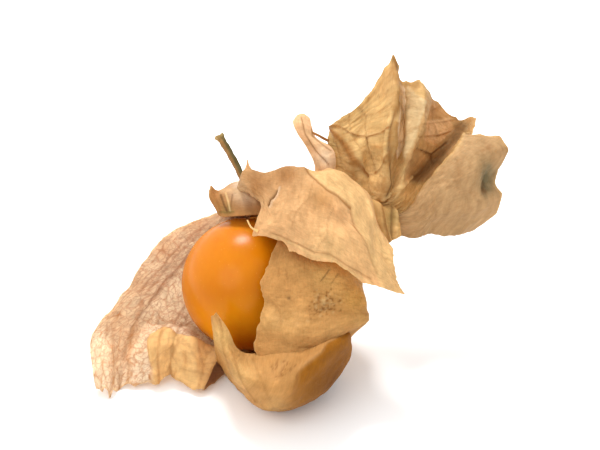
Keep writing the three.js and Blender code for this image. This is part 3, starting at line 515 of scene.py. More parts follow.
LOOKS["top"] = dict(
    base=linear(232, 192, 144), net=0.14, quilt=0.03, cell=1.8, pits=0.16,
    spots=[(5.4, 15.8, 2.4, BROWN, 0.85), (0.8, 14.2, 3, BROWN, 0.9), (-2, 13, 2, BROWN, 0.7),
        (10.6, 12.2, 1.8, ORANGE, 0.6), (11.6, 5.4, 3.2, BRIGHT, 0.5),
        (16.4, 3.4, 3, BRIGHT, 0.3), (3.6, 12.6, 2, ROSE, 0.5), (-0.9, 14.2, 1.1, PEACH, 0.5)],
    panels=[
        # painted light: the facet right of the fold faces the lamp and is painted lighter
        ([(8, 16.6), (10.1, 14.2), (12.7, 12.3), (14.4, 10.75), (16.2, 6), (18.6, 0), (24, -3),
         (24, 8), (18, 18), (9, 18)], BRIGHT, 0.65, 0, 1)],
    strokes=[
        ([(8.2, 16.3), (10.1, 14.2), (12.7, 12.3), (14.4, 10.75)], 0.16, BROWN, 0.8, -0.15),
        ([(14.4, 10.75), (15, 8.6), (16.4, 5.6), (18.1, 1.7)], 0.13, BROWN, 0.4, -0.08),
        # painted shade in the slit, with a painted highlight on the raised lip beside it
        ([(4.2, 13.4), (3.7, 12.7), (3.2, 12.3), (2.9, 11.3)], 0.17, UMBER, 0.95, -0.3),
        ([(4.6, 13.8), (4.3, 12.8), (3.5, 11.9), (3.2, 11.1)], 0.15, PALE, 0.3, 0.15),
        ([(3.2, 7.5), (6.4, 6.2), (9.5, 4.7), (11.6, 4.5), (14, 2.9), (17.4, 1)], 0.13, BROWN,
         0.5, -0.1),
        # painted highlight along the curled lower edge
        ([(3.3, 7), (6.6, 5.8), (9.4, 4.1), (11.6, 4), (14, 2.2), (17.4, 0.4)], 0.16, BRIGHT, 0.5,
         0.07),
        ([(17.2, 12), (17.8, 8.6), (19, 5.6), (20.6, 2.4)], 0.16, BRIGHT, 0.5, 0.12),
        # painted highlight along the arch's rolled lower-left edge
        ([(-1.5, 14), (0.2, 13.2), (1.9, 11.4)], 0.3, PEACH, 0.5, 0.1),
        ([(9.4, 14.6), (8.6, 12.4), (6.8, 10.4), (6.2, 8.2)], 0.09, BROWN, 0.3, 0.1),
        ([(12.9, 12), (11.4, 9.6), (11.2, 7), (9.8, 5.2)], 0.09, BROWN, 0.3, 0.1),
        ([(5.6, 9.8), (6.4, 10.6), (7.4, 10.2), (7.4, 9.2), (6.4, 8.9), (5.6, 9.8)], 0.12, BROWN,
         0.25, 0.1)],
    ridges=[
        ([(8.2, 16.5), (10.3, 14.2), (12.9, 12.3), (14.8, 10.7), (16.4, 6), (18.8, 0.4)], 1.9,
         0.6)])
LOOKS["crown"] = dict(
    base=linear(218, 188, 136), net=0.32, quilt=0.09, cell=1.9,
    # the bright spots at (18.4, 15.4) and (23.4, 13.6) are painted light that lifts the fold's
    # shade
    spots=[(28.5, 26, 2.4, ROSE, 0.8), (14, 23, 1.4, BRIGHT, 0.5), (15, 19.8, 2.2, BRIGHT, 0.45),
        (20.6, 30, 2.6, SIENNA, 0.35), (18.4, 15.4, 2.6, BRIGHT, 0.6),
        (23.4, 13.6, 1.8, BRIGHT, 0.9), (12.4, 20.4, 1.2, OLIVE, 0.25),
        (16, 25.5, 1.6, BRIGHT, 0.1), (19.6, 14, 1.8, SIENNA, 0.2), (22.6, 15, 1.6, SIENNA, 0.2)],
    panels=[
        ([(21.8, 30.4), (23.2, 28.6), (23.4, 26.4), (22.8, 22.7), (22.7, 19.5), (21.6, 18),
         (21.4, 22.7), (21.9, 26.4)], PALE, 0.6, -0.1, 0.6, FAN),
        # painted light: the strip that faces the lamp, painted lighter
        ([(23.2, 29.4), (25.95, 26.6), (24.8, 22.75), (24.1, 20.4), (23, 18.2), (22.7, 19.5),
         (22.8, 22.7), (23.4, 26.4)], linear(223, 203, 166), 0.9, 0.1, 0.6, FAN),
        ([(25.95, 26.6), (24.8, 22.75), (24.1, 20.4), (23, 18.2), (22.6, 15), (32, 15), (34, 25),
         (28, 25.6)], linear(208, 172, 126), 0.8, -0.1, 1.5, FAN),
        ([(24.6, 19.8), (26.65, 19.1), (29, 21), (31, 23), (33, 22), (33, 15), (23.2, 15),
         (22.8, 17.8)], SIENNA, 0.15, 0, 0.6, FAN),
        ([(25.9, 27.4), (26.2, 24.2), (29.4, 24.6), (33, 24), (33, 27), (28, 29)],
         linear(190, 142, 88), 0.55, 0, 1, FAN),
        ([(25.4, 21.2), (27.4, 20.4), (30.6, 22.8), (29.4, 24.4), (26.2, 24)], PEACH, 0.8, 0, 1,
         FAN),
        ([(30.8, 23), (38.8, 23), (38.8, 5), (18, 5), (18, 12)], linear(198, 166, 128), 0.9, 0,
         0.3, WING)],
    strokes=[
        # painted shadow that the right lobe's rolled rim casts on the hollow
        ([(31.6, 23.4), (30.2, 21.4), (28.9, 19.9), (27, 17.9), (24.6, 15.6)], 0.9, UMBER, 0.75,
         0, FAN),
        ([(21, 33.3), (21.8, 30.4), (22, 28), (21.6, 25.8), (20.8, 22.7), (20.4, 18.1),
         (20.4, 14.9), (19.7, 12.4)], 0.16, UMBER, 0.8, -0.1),
        ([(20.8, 31), (21.5, 28), (21.1, 25.8), (20.3, 22.7), (19.9, 18.1)], 0.14, BRIGHT, 0.5,
         0.2),
        ([(11.9, 23.2), (14.2, 19.75), (15.6, 17.4), (17, 15.8)], 0.2, BROWN, 0.95, 0.25),
        ([(11.9, 23.2), (14.9, 21.8), (17.5, 21.1), (19.5, 22.05), (20.7, 22.9)], 0.14, BROWN,
         0.85, 0.2),
        ([(17.5, 21.1), (17.7, 19.8), (18.2, 17.8), (18.6, 16.3)], 0.12, BROWN, 0.5, 0.15),
        ([(17, 15.8), (18.4, 16.1), (19.6, 17.5), (20.3, 18.8)], 0.12, BROWN, 0.7, 0.12),
        ([(12.8, 21.6), (13.6, 17.7)], 0.12, BROWN, 0.5, 0.12),
        ([(15.8, 26), (17.2, 24.6), (18.4, 24.8), (20.9, 26.4)], 0.1, BROWN, 0.45, 0.12),
        ([(17.2, 24.6), (17, 22.8), (17.5, 21.1)], 0.1, BROWN, 0.4, 0.12),
        ([(18, 28.6), (19.2, 27.4), (21.3, 28.8)], 0.1, BROWN, 0.4, 0.1),
        ([(14.9, 21.8), (15.6, 19.6), (17.7, 19.2)], 0.1, BROWN, 0.35, 0.1),
        ([(14.6, 25.2), (14.6, 23.6), (14.9, 21.8)], 0.1, BROWN, 0.35, 0.1),
        ([(19.3, 12.4), (21.4, 13.6), (23.9, 15.6)], 0.18, BRIGHT, 0.7, 0.3),
        ([(24.6, 19.8), (26.65, 19.1), (29.2, 20.9)], 0.13, UMBER, 0.9, 0.1, FAN),
        ([(26.65, 19.1), (27.1, 17.7)], 0.13, UMBER, 0.9, 0.1, FAN),
        ([(24.8, 21.5), (27.8, 21.9), (29.9, 22.6)], 0.11, BROWN, 0.8, 0.1, FAN),
        ([(25.4, 23.4), (28.4, 23.9), (30.8, 24.4)], 0.1, BROWN, 0.5, 0.1, FAN),
        ([(26, 25.2), (28, 26.2), (28.6, 26.4)], 0.1, BROWN, 0.4, 0.1, FAN),
        ([(27.6, 21.9), (27.2, 24), (26.8, 26.8)], 0.1, BROWN, 0.4, 0.1, FAN),
        # painted highlight along the right lobe's rolled rim
        ([(31.3, 22.5), (30.8, 20.4), (29.4, 18.8), (26.4, 16.1), (23.6, 13.7)], 0.25, BRIGHT,
         0.5, 0.25, WING),
        ([(31, 22.6), (33.3, 22.3), (35.6, 21.9), (38.2, 20.6)], 0.2, BROWN, 0.5, 0.15,
         WING),
        ([(34.6, 20.6), (35.4, 18.4)], 0.5, BROWN, 0.2, -0.1, WING),
        ([(31, 18.6), (30.4, 15.2)], 0.5, BROWN, 0.15, 0.1, WING)],
    ridges=[
        ([(17.6, 20.9), (14.8, 17.4)], 1.6, 0.4),
        ([(17.6, 20.9), (17, 27.6)], 1.8, 0.5),
        ([(12.6, 23), (17, 15.6)], 1.2, 0.5),
        ([(24.3, 27.6), (23, 18.6)], 1, 0.4)],
    dots=[
        ((34.9, 15.6), (1.2, 2.4), 60, 0.7, MOULD, 0.1),
        ((34.9, 15), (1, 2.1), 60, 0.34, MOULD, 0.24),
        ((34.3, 13.8), (0.5, 1.2), 22, 0.3, UMBER, 0.28),
        ((35.4, 19.4), (2, 0.6), 14, 0.3, BROWN, 0.2),
        ((29.6, 15.4), (3.4, 2.6), 30, 0.4, BROWN, 0.12)])
LOOKS["ear"] = dict(
    base=linear(240, 208, 170), net=0.08, quilt=0.02, cell=1.2,
    spots=[(11, 18.4, 1.6, PALE, 0.6)],
    strokes=[
        ([(7.6, 24.2), (8.2, 21.8), (9.8, 19.4), (11.6, 17.4)], 0.12, BROWN, 0.8, -0.15),
        ([(9, 22.6), (9.2, 21.6), (10.4, 20.4), (11.8, 19.4)], 0.12, BROWN, 0.7, 0)])
LOOKS["claw"] = dict(
    base=OCHRE, net=0.08, quilt=0.02, cell=1.2,
    spots=[(20.2, 6.8, 0.9, OCHRE, 0.8), (18.8, 10.6, 1, OCHRE, 0.5),
        (20.9, 9.6, 1.1, OLIVE, 0.4)],
    strokes=[
        ([(21.4, 11.4), (21.4, 6)], 0.2, BRIGHT, 0.4, 0.1),
        ([(20.8, 11.6), (20.9, 6.4)], 0.22, UMBER, 0.6, -0.15),
        ([(19, 12), (19.7, 8.6), (20.4, 6.4)], 0.14, BROWN, 0.7, 0.15)])
LOOKS["curl"] = dict(
    base=SIENNA, net=0.06, quilt=0.02, cell=1.2,
    spots=[(-0.5, 11.2, 1.8, BROWN, 0.4), (-3.6, 12.2, 1.2, BROWN, 0.25),
        # the pale spot at (-0.6, 14.2) is painted light that lifts the shade between the hood and
        # the top lobe; the peach spot at (-1.2, 12.9) is a painted highlight
        (-3.2, 10.9, 0.9, OLIVE, 0.4), (-0.6, 14.2, 2, PALE, 0.8), (-1.2, 12.9, 0.8, PEACH, 0.6),
        (-5.4, 12.8, 1, BROWN, 0.4)],
    strokes=[
        ([(-4.1, 12.9), (-3.7, 11.7), (-3.2, 10.6)], 0.13, UMBER, 0.85, 0.1),
        ([(-2.4, 13), (-2.55, 11.9), (-2.8, 10.6)], 0.1, UMBER, 0.6, 0.08),
        ([(-3.4, 13.2), (-3, 12), (-2.7, 10.6)], 0.1, BRIGHT, 0.8, 0.12),
        # painted highlight along the hood's rolled upper rim
        ([(-4, 13.5), (-2.2, 13.6), (-0.6, 13.2), (1, 12)], 0.35, PEACH, 0.6, 0.15),
        ([(-5.4, 13.2), (-4.6, 12), (-4.2, 10.6)], 0.12, BROWN, 0.5, 0.12),
        ([(-4.2, 10.5), (-3.2, 10.4), (-2.2, 10.5)], 0.12, OLIVE, 0.7, 0.05)])
LOOKS["back"] = dict(base=OCHRE, net=0.2, quilt=0.06, cell=1.9)
LOOKS["scrap"] = dict(base=ROSE, net=0.05, quilt=0, cell=1)
LOOKS["strand"] = dict(base=SIENNA, net=0, quilt=0, cell=1)
LOOKS["fibre"] = dict(base=BRIGHT, net=0, quilt=0, cell=1)
LOOKS["cup"] = dict(
    base=linear(200, 160, 100), net=0.12, quilt=0.03, cell=1.4,
    spots=[(0, 13.6, 2.4, OLIVE, 0.5)])

# Each lobe's grid and shape. grid: rows and columns of cells. ribs: their column at the root and
# at the free edge. fray: how far the free edge is worn back, in rows, as in the part's source.
# nick: how far the free edge, the first column and the last are worn back in small teeth, and
# root_nick the same at the root, in millimetres. peaks: points of the free edge (column, reach in
# rows, half-width), and spurs the same for the first column (row, reach in columns, half-width).
# waves: share of CRUMPLE. fold: height of the sharp folds. calm: share of the length, from the
# root, over which they grow. pleats: count across the lobe and height. ring: closed round the
# stalk. front_wear: how far its front is cut back, in rows.
LOBES = {
    "left": dict(net=LEFT, grid=(170, 140), ribs=[(2, 2), (4, 4)], fray=0.3,
                 nick=(0.4, 0.12, 0.1), waves=0.8, fold=0.3, peaks=[(5.2, 0.25, 0.3)]),
    "front": dict(net=FRONT, grid=(140, 160), nick=(0.15, 0.6, 0), waves=0.6, fold=0.16),
    "bowl": dict(net=BOWL, grid=(110, 170), waves=0.4, fold=0.12, calm=0.1, root_nick=0.05),
    "top": dict(net=TOP, grid=(170, 96), fray=0.05, nick=(0.1, 0.5, 0.1), waves=0.8, fold=0.22,
                peaks=[(0, 0.18, 0.6)], spurs=[(3.1, 0.45, 0.22), (4.3, 0.2, 0.15)]),
    "crown": dict(net=CROWN, grid=(140, 300), ribs=[(1, 1), (3, 3)], fray=0.16,
                  nick=(0.22, 0.1, 0.1), waves=0.8, fold=0.2, calm=0.5,
                  peaks=[(3, -0.14, 0.35), (2.99, 0.26, 0.07), (2.4, 0.12, 0.4),
                         (8.2, 0.2, 0.25)]),
    "ear": dict(net=EAR, grid=(60, 30), nick=(0.1, 0.05, 0.05), waves=0.3, fold=0.1),
    "claw": dict(net=CLAW, grid=(60, 36), nick=(0.3, 0.1, 0.1), waves=0.3, fold=0.15,
                 pleats=(1.5, 0.25)),
    "curl": dict(net=CURL, grid=(70, 36), fray=0.1, nick=(0.1, 0.1, 0.2), waves=0.3, fold=0.12,
                 spurs=[(3.8, 0.25, 0.2)]),
    "back": dict(net=BACK, grid=(130, 110), ribs=[(1, 1), (3, 3)], waves=0.5, fold=0.2),
    "scrap": dict(net=SCRAP, grid=(24, 14), waves=0.1, fold=0.05),
    "strand": dict(net=STRAND, grid=(30, 4), waves=0.1, fold=0.05),
    "fibre": dict(net=FIBRE, grid=(24, 3), waves=0, fold=0.03),
    "cup": dict(net=CUP, grid=(48, 170), waves=0.2, fold=0.06, ring=True, front_wear=2.6),
}


def lay_out(spec, seed):
    """A lobe's grid, torn at its edges: where its points lie along and across it, in its net,
    in the fruit, and as distances x, y on its own paper."""
    net = np.asarray(spec["net"], float)
    row_span, column_span = net.shape[0] - 1, net.shape[1] - 1
    row_length = lengths(np.gradient(net, axis=0)).mean()
    column_length = lengths(np.gradient(net, axis=1)).mean()
    along, across = np.meshgrid(*(np.linspace(0, 1, n + 1) for n in spec["grid"]), indexing="ij")
    end_nick, low_nick, high_nick = spec.get("nick", (0, 0, 0))

    down = along * row_span
    low = low_nick * jag(down * row_length, seed) / column_length
    low = low - teeth(down, spec.get("spurs", []))
    high = high_nick * jag(down * row_length, seed + 9) / column_length
    share = smooth(0, SIDE_WEAR, along)
    column = low * share + across * (column_span - (low + high) * share)
    end = row_span - spec.get("fray", 0) * tear(column)
    end = end - end_nick * jag(column * column_length, seed + 4) / row_length
    end = end + teeth(column, spec.get("peaks", []))
    front = smooth(*CUP_FRONT[0], across) * smooth(*CUP_FRONT[1], across)
    end = end - spec.get("front_wear", 0) * front
    start = spec.get("root_nick", 0) * jag(column * column_length, seed + 7) / row_length
    row = start + along * (end - start)
    return SimpleNamespace(
        seed=seed, along=along, across=across, row=row, column=column, row_span=row_span,
        length=row_span * row_length, column_length=column_length,
        x=(column - column_span / 2) * column_length, y=row * row_length,
        place=on_net(net, row, column))


def veins_of(spec, lobe, wander):
    """Distance from the nearest rib in columns, and how strongly the ribs' veins and their
    branches show."""
    near, side = np.full(lobe.row.shape, FAR), np.zeros(lobe.row.shape)
    for root, tip in spec.get("ribs", []):
        off = lobe.column - root - (tip - root) * lobe.row / lobe.row_span
        side = np.where(np.abs(off) < near, np.sign(off), side)
        near = np.minimum(near, np.abs(off))
    if spec.get("ring"):
        turn = np.abs(((lobe.across * CUP_RIBS) % 1) - 0.5) * 2
        return near, bell(1 - turn, CUP_VEIN), np.zeros(turn.shape)
    off_rib = near * lobe.column_length
    rib_vein = bell(off_rib + 0.12 * np.sin(1.7 * lobe.y), RIB_VEIN[0])
    branch = ((lobe.y - VEIN_SLOPE * off_rib + wander + side * VEIN_GAP / 4) / VEIN_GAP) % 1
    branch = np.minimum(branch, 1 - branch) * VEIN_GAP * VEIN_TILT
    side_vein = bell(branch, SIDE_VEIN[0]) * np.exp(-off_rib / VEIN_FADE)
    return near, rib_vein, side_vein * (near < BRANCHED)


def net_of(looks, lobe, wander):
    """How strongly the threads between the small cells show, and the cells' own relief."""
    x, y, seed, cell = lobe.x, lobe.y, lobe.seed, looks["cell"]
    along, slant = y + 0.5 * wander, looks.get("slant", 0)
    edge, _ = cells(x + slant * y + wander, along, cell, seed, looks.get("stretch", 1.25))
    patchy = 0.55 + 0.45 * np.sin(0.8 * x + 1.9 * seed) * np.sin(0.55 * y + seed)
    torn = 0.5 + 0.5 * np.sin(2.3 * x + 1.5 * np.sin(1.9 * y)) * np.sin(1.6 * y + wander)
    threads = bell(edge * cell, NET_THREAD) * (0.25 + 0.4 * patchy + 0.4 * torn)
    thin = np.abs(np.sin(math.pi * (x + 0.5 * np.sin(0.7 * y + seed) + 0.2 * np.sin(1.9 * y))))
    broken = 0.5 + 0.5 * np.sin(1.3 * y + 2.1 * x) * np.sin(0.6 * x - 0.8 * y)
    threads += looks.get("streaks", 0) * bell(thin, 0.25) * smooth(0.3, 0.6, broken)
    fine, pit = cells(x + 0.5 * wander, y, cell * 0.55, seed + 20, 1.2)
    relief = looks["quilt"] * (smooth(0, 0.6, edge) - 0.6 + 0.3 * smooth(0, 0.5, fine))
    relief += looks.get("pits", 0) * (1 - 1.4 * patchy) * bell(pit, 0.3)
    return threads * smooth(*BARE_ROOT, lobe.along), relief


def shade_belly(tint, u, v, w, facing):
    """Painted shade on the belly's side right of its sharp edge, which grows soft downwards."""
    off = inside(u, v, BELLY_SHADE)
    blur = 0.15 + 0.4 * np.clip(-12 - v, 0, 6)
    painted_shade = smooth(-blur, blur, off) * (0.95 - 0.1 * np.clip(-13 - v, 0, 6))
    painted_shade *= smooth(-6, 2, w)
    tint = mixed(tint, linear(166, 106, 22), painted_shade)
    return mixed(tint, linear(116, 66, 4), 0.75 * painted_shade * smooth(0.4, 4.5, off) * facing)


def draw(name, lobe, forward):
    """What LOOKS says, drawn on a lobe: its tint, the share of the net that stays, and heights
    towards the viewer."""
    looks = LOOKS[name]
    u, v, w = lobe.place[..., 0], lobe.place[..., 1], lobe.place[..., 2]
    facing = smooth(*FACING, np.abs(forward)) * (w > HIDDEN)
    tint = np.broadcast_to(looks["base"], (*u.shape, 3))
    netted, lift = np.ones(u.shape), np.zeros(u.shape)

    def shown(between):
        first, last = between[0] if between else (-FAR, FAR)
        return facing * (lobe.column >= first) * (lobe.column <= last)

    for cu, cv, reach, colour, strength in looks.get("spots", []):
        tint = mixed(tint, colour, strength * bell(np.hypot(u - cu, v - cv), reach))
    for outline, colour, strength, height, net_share, *between in looks.get("panels", []):
        area = smooth(-CRISP, CRISP, inside(u, v, outline)) * shown(between)
        tint = mixed(tint, colour, strength * area)
        netted *= 1 + (net_share - 1) * area
        lift += height * area
    for line, width, colour, strength, height, *between in looks.get("strokes", []):
        stroke = bell(line_distance(u, v, line), width) * shown(between)
        tint = mixed(tint, colour, strength * stroke)
        lift += height * stroke
    for line, width, height in looks.get("ridges", []):
        lift += height * np.clip(1 - line_distance(u, v, line) / width, 0, None) * facing
    if name == "bowl":
        tint = shade_belly(tint, u, v, w, facing)
    rng = np.random.default_rng(5)
    for (cu, cv), (ru, rv), count, size, colour, strength in looks.get("dots", []):
        for _ in range(count):
            du, dv = rng.normal(0, 0.55, 2)
            width = size * rng.uniform(0.6, 1.2)
            dot = bell(np.hypot(u - cu - ru * du, v - cv - rv * dv), width) * facing * (w > 0)
            tint = mixed(tint, colour, strength * dot)
            lift -= DOT_DEPTH * dot
    # painted highlight: a pale line along the free edge and the first column
    if name not in ("cup", "back"):
        rim = np.minimum(1 - lobe.along, 4 * lobe.across) * lobe.length
        tint = mixed(tint, STRAW, RIM_HIGHLIGHT[0] * bell(rim, RIM_HIGHLIGHT[1]))
    return tint, netted, lift


def settle(world):
    """Points kept clear of the berry, and lowered so that the thin paper lies on the table."""
    out = world - CENTRE
    far = lengths(out)[..., None]
    world = CENTRE + out * np.maximum(far, BERRY_RADIUS + CLEAR) / far
    above = np.maximum(world[..., 2] - CAD_LIFT, 0)
    sink = (CAD_LIFT - LIFT) * np.exp(-above / SETTLE)
    world[..., 2] = np.maximum(CAD_LIFT + above - sink, LIFT)
    return world


def shape_lobe(name):
    """Middle points of a lobe in the world, with what is painted on them."""
    spec, looks, seed = LOBES[name], LOOKS[name], sorted(LOBES).index(name)
    lobe = lay_out(spec, seed)
    x, y, place = lobe.x, lobe.y, lobe.place
    ring = spec.get("ring", False)
    world = to_world(place)
    normals = normals_of(world, ring)
    forward = normals @ OUTWARD
    wander = 0.4 * np.sin(0.9 * y + 1.3 * x) + 0.25 * np.sin(2.1 * x - 1.4 * y)
    near, rib_vein, side_vein = veins_of(spec, lobe, wander)
    threads, height = net_of(looks, lobe, wander)
    tint, netted, lift = draw(name, lobe, forward)

    ease = smooth(0, spec.get("calm", 0.25), lobe.along)
    crease = RIB * np.clip(1 - near / RIB_REACH, 0, None)
    crushed = folds(place, LARGE_FOLD, seed) + 0.4 * folds(place, SMALL_FOLD, seed + 40)
    crushed += 0.45 * wrinkles(x, y, WRINKLE, seed)
    height += ease * (CRUMPLE * spec["waves"] * crumple(place) + crease + spec["fold"] * crushed)
    if "pleats" in spec:
        count, deep = spec["pleats"]
        height += deep * smooth(0, 0.3, lobe.along) * np.cos(math.tau * count * lobe.across)
    height += RIB_VEIN[1] * rib_vein + SIDE_VEIN[1] * side_vein + lift * np.sign(forward)
    world = settle(world + normals * height[..., None])
    netted = looks["net"] * np.clip(netted, 0, 1.5)
    return {
        "points": world, "normals": normals_of(world, ring), "tint": tint,
        "vein": np.clip(0.8 * rib_vein + 0.55 * side_vein, 0, 1),
        "net": netted * np.clip(threads, 0, 1),
        "netted": netted * smooth(*BARE_ROOT, lobe.along),
        "place": np.stack([x, y, np.full(x.shape, NOISE_STEP * seed)], -1),
    }


# ---- meshes ----
def in_scene(name, data):
    made = bpy.data.objects.new(name, data)
    bpy.context.scene.collection.objects.link(made)
    return made


def add_mesh(name, points, faces, uvs=None, attributes=None):
    """Smooth mesh object from points in millimetres, lists of faces, a place on the map for
    each corner, and attributes of the points."""
    mesh = bpy.data.meshes.new(name)
    mesh.from_pydata((np.asarray(points) * MM).tolist(), [], faces)
    if uvs is not None:
        layer = mesh.uv_layers.new(name=EXPORT_MAP)
        layer.data.foreach_set("uv", np.asarray(uvs, np.float32).ravel())
    for key, values in (attributes or {}).items():
        values = np.asarray(values, np.float32)
        kind, field = ("FLOAT", "value") if values.ndim == 1 else ("FLOAT_VECTOR", "vector")
        layer = mesh.attributes.new(key, kind, "POINT")
        layer.data.foreach_set(field, values.ravel())
    mesh.polygons.foreach_set("use_smooth", np.ones(len(mesh.polygons), bool))
    return in_scene(name, mesh)


def quads(rows, columns):
    """Corner indices of a grid's cells."""
    i, j = np.meshgrid(np.arange(rows - 1), np.arange(columns - 1), indexing="ij")
    a = (i * columns + j).ravel()
    return np.stack([a, a + 1, a + columns + 1, a + columns], -1)


def paper(name, lobe, material):
    """Closed thin sheet of a lobe: two faces, and a narrow wall round its edge."""
    points, normals = lobe["points"], lobe["normals"]
    rows, columns = points.shape[:2]
    count = rows * columns
    faces_apart = [(points + side * normals * SHEET / 2).reshape(-1, 3) for side in (1, -1)]
    top = quads(rows, columns)
    bottom = top[:, ::-1] + count
    border = np.concatenate([
        np.arange(columns), np.arange(1, rows) * columns + columns - 1,
        count - 2 - np.arange(columns - 1), (rows - 2 - np.arange(rows - 2)) * columns])
    after = np.roll(border, -1)
    wall = np.stack([after, border, border + count, after + count], -1)
    j, i = np.meshgrid(np.linspace(0, 1, columns), np.linspace(0, 1, rows))
    grid = np.stack([j.ravel(), i.ravel()], -1)
    on_upper = grid * UV_HALF + UV_EDGE
    on_lower = on_upper + UV_NEXT
    out = np.sign(np.round(grid * 2 - 1, 6)) * (np.abs(grid * 2 - 1) > 0.999) * UV_WALL
    both = np.concatenate([on_upper, on_lower])
    walls = np.concatenate([on_upper, on_upper + out])
    uvs = np.concatenate([both[top], both[bottom], walls[wall]])
    double = {key: np.concatenate([lobe[key].reshape(count, -1).squeeze()] * 2)
              for key in ("tint", "vein", "net", "netted", "place")}
    faces = np.concatenate([top, bottom, wall]).tolist()
    made = add_mesh(name, np.concatenate(faces_apart), faces, uvs, double)
    made.data.set_sharp_from_angle(angle=SHARP)
    made.data.materials.append(material)
    return made


def weld(made, distance=1e-7):
    """Joins points of a closed grid that lie on each other, and turns its faces outwards."""
    edit = bmesh.new()
    edit.from_mesh(made.data)
    bmesh.ops.remove_doubles(edit, verts=edit.verts, dist=distance)
    bmesh.ops.dissolve_degenerate(edit, edges=edit.edges, dist=distance)
    bmesh.ops.recalc_face_normals(edit, faces=edit.faces)
    edit.to_mesh(made.data)
    edit.free()


# ---- materials ----
class Paint:
    """A material, and makers of its nodes that give back the sockets they end in."""

    def __init__(self, name):
        self.material = bpy.data.materials.new(name)
        self.material.use_nodes = True
        self.tree = self.material.node_tree
        self.tree.nodes.clear()

    def add(self, kind, sockets, **settings):
        """Outputs of a new node, its sockets linked or set."""
        made = self.tree.nodes.new("ShaderNode" + kind)
        for key, value in settings.items():
            setattr(made, key, value)
        for key, value in sockets.items():
            if isinstance(value, bpy.types.NodeSocket):
                self.tree.links.new(value, made.inputs[key])
            else:
                made.inputs[key].default_value = value
        return made.outputs

    def painted(self, key, output="Fac"):
        """What the mesh carries on its points under that name."""
        return self.add("Attribute", {}, attribute_name=key)[output]

    def noise(self, place, scale, detail, output="Fac", roughness=0.5, **settings):
        return self.add("TexNoise", {"Vector": place, "Scale": scale, "Detail": detail,
                                     "Roughness": roughness}, **settings)[output]

    def stretched(self, place, scale):
        return self.add("Mapping", {"Vector": place, "Scale": scale})["Vector"]

    def spread(self, value, low, high, to_low, to_high):
        """The value's range from low to high, made the range from to_low to to_high."""
        return self.add("MapRange", {"Value": value, "From Min": low, "From Max": high,
                                     "To Min": to_low, "To Max": to_high})["Result"]

    def times(self, a, b, plus=None):
        """Product of two numbers, plus a third."""
        if plus is None:
            return self.add("Math", {0: a, 1: b}, operation="MULTIPLY")[0]
        return self.add("Math", {0: a, 1: b, 2: plus}, operation="MULTIPLY_ADD")[0]

    def blend(self, factor, a, b, how="MIX"):
        """Mix of two colours: the node's colours are sockets 6 and 7, its result number 2."""
        a, b = (rgba(c) if isinstance(c, (tuple, np.ndarray)) else c for c in (a, b))
        return self.add("Mix", {0: factor, 6: a, 7: b}, data_type="RGBA", blend_type=how)[2]

    def shade(self, colour, factor, at_low, at_high):
        """The colour times one shade where the factor is 0 and another where it is 1."""
        return self.blend(1.0, colour, self.blend(factor, at_low, at_high), "MULTIPLY")

    def bump(self, parts, strength, distance):
        """Normal of a height made of sockets, each times its share."""
        total = None
        for socket, share in parts:
            total = self.times(socket, share, total)
        return self.add("Bump", {"Height": total, "Strength": strength,
                                 "Distance": distance * MM})["Normal"]

    def skin(self, colour, roughness, shine, **more):
        return self.add("BsdfPrincipled", {"Base Color": colour, "Roughness": roughness,
                                           "Specular IOR Level": shine, **more})["BSDF"]

    def finished(self, surface):
        self.add("OutputMaterial", {"Surface": surface})
        return self.material


def rgba(colour):
    return (*(float(c) for c in colour), 1.0)


def husk_material(name, share, pale):
    """Dry paper that lets that share of the light through, more or less pale."""
    paint = Paint(name)
    place = paint.painted("place", "Vector")
    netted = paint.painted("netted")
    fibres = paint.noise(paint.stretched(place, (5.0, 0.8, 1.0)), 1.0, 3.0)
    grain = paint.noise(place, 3.2, 3.0)
    mottle = paint.spread(paint.noise(place, 0.55, 5.0, roughness=0.65), 0.3, 0.7, 0.0, 1.0)
    bent = paint.noise(place, 0.9, 2.0, "Color")
    swirl = paint.add("VectorMath", {0: bent, 1: (0.9, 0.9, 0.9), 2: place},
                      operation="MULTIPLY_ADD")[0]
    cell = paint.add("TexVoronoi", {"Vector": swirl, "Scale": 1.1}, feature="DISTANCE_TO_EDGE")
    thread = paint.spread(cell["Distance"], 0.02, 0.1, 1.0, 0.0)
    crushed = paint.noise(swirl, 0.9, 4.0, roughness=0.55, noise_type="RIDGED_MULTIFRACTAL",
                          normalize=True)

    colour = paint.shade(paint.painted("tint", "Color"), mottle, (1.2, 1.2, 1.14),
                         (0.87, 0.83, 0.74))
    colour = paint.shade(colour, fibres, (1.16, 1.17, 1.19), (0.84, 0.8, 0.72))
    # lighter on the crushed ridges and darker between them: painted highlight and shade
    colour = paint.shade(colour, crushed, (0.9, 0.88, 0.84), (1.12, 1.12, 1.1))
    faint = paint.times(thread, paint.times(paint.times(netted, 0.8, 0.06), fibres))
    colour = paint.blend(faint, colour, linear(176, 122, 72))
    colour = paint.blend(paint.painted("net"), colour, linear(200, 134, 62))
    colour = paint.blend(paint.times(paint.painted("vein"), 0.6), colour, linear(170, 116, 52))

    normal = paint.bump([(fibres, 0.5), (grain, 0.3), (thread, 0.2), (mottle, 0.5),
                         (crushed, 1.2)], 0.75, 0.12)
    skin = paint.skin(colour, paint.spread(grain, 0.0, 1.0, 0.42, 0.68), 0.12, Normal=normal)
    warm = paint.blend(1.0, colour, (1.0, 0.96, 0.88), "MULTIPLY")
    warm = paint.blend(pale, warm, (1.0, 0.97, 0.93))
    through = paint.add("BsdfTranslucent", {"Color": warm, "Normal": normal})["BSDF"]
    return paint.finished(paint.add("MixShader", {0: share, 1: skin, 2: through})["Shader"])


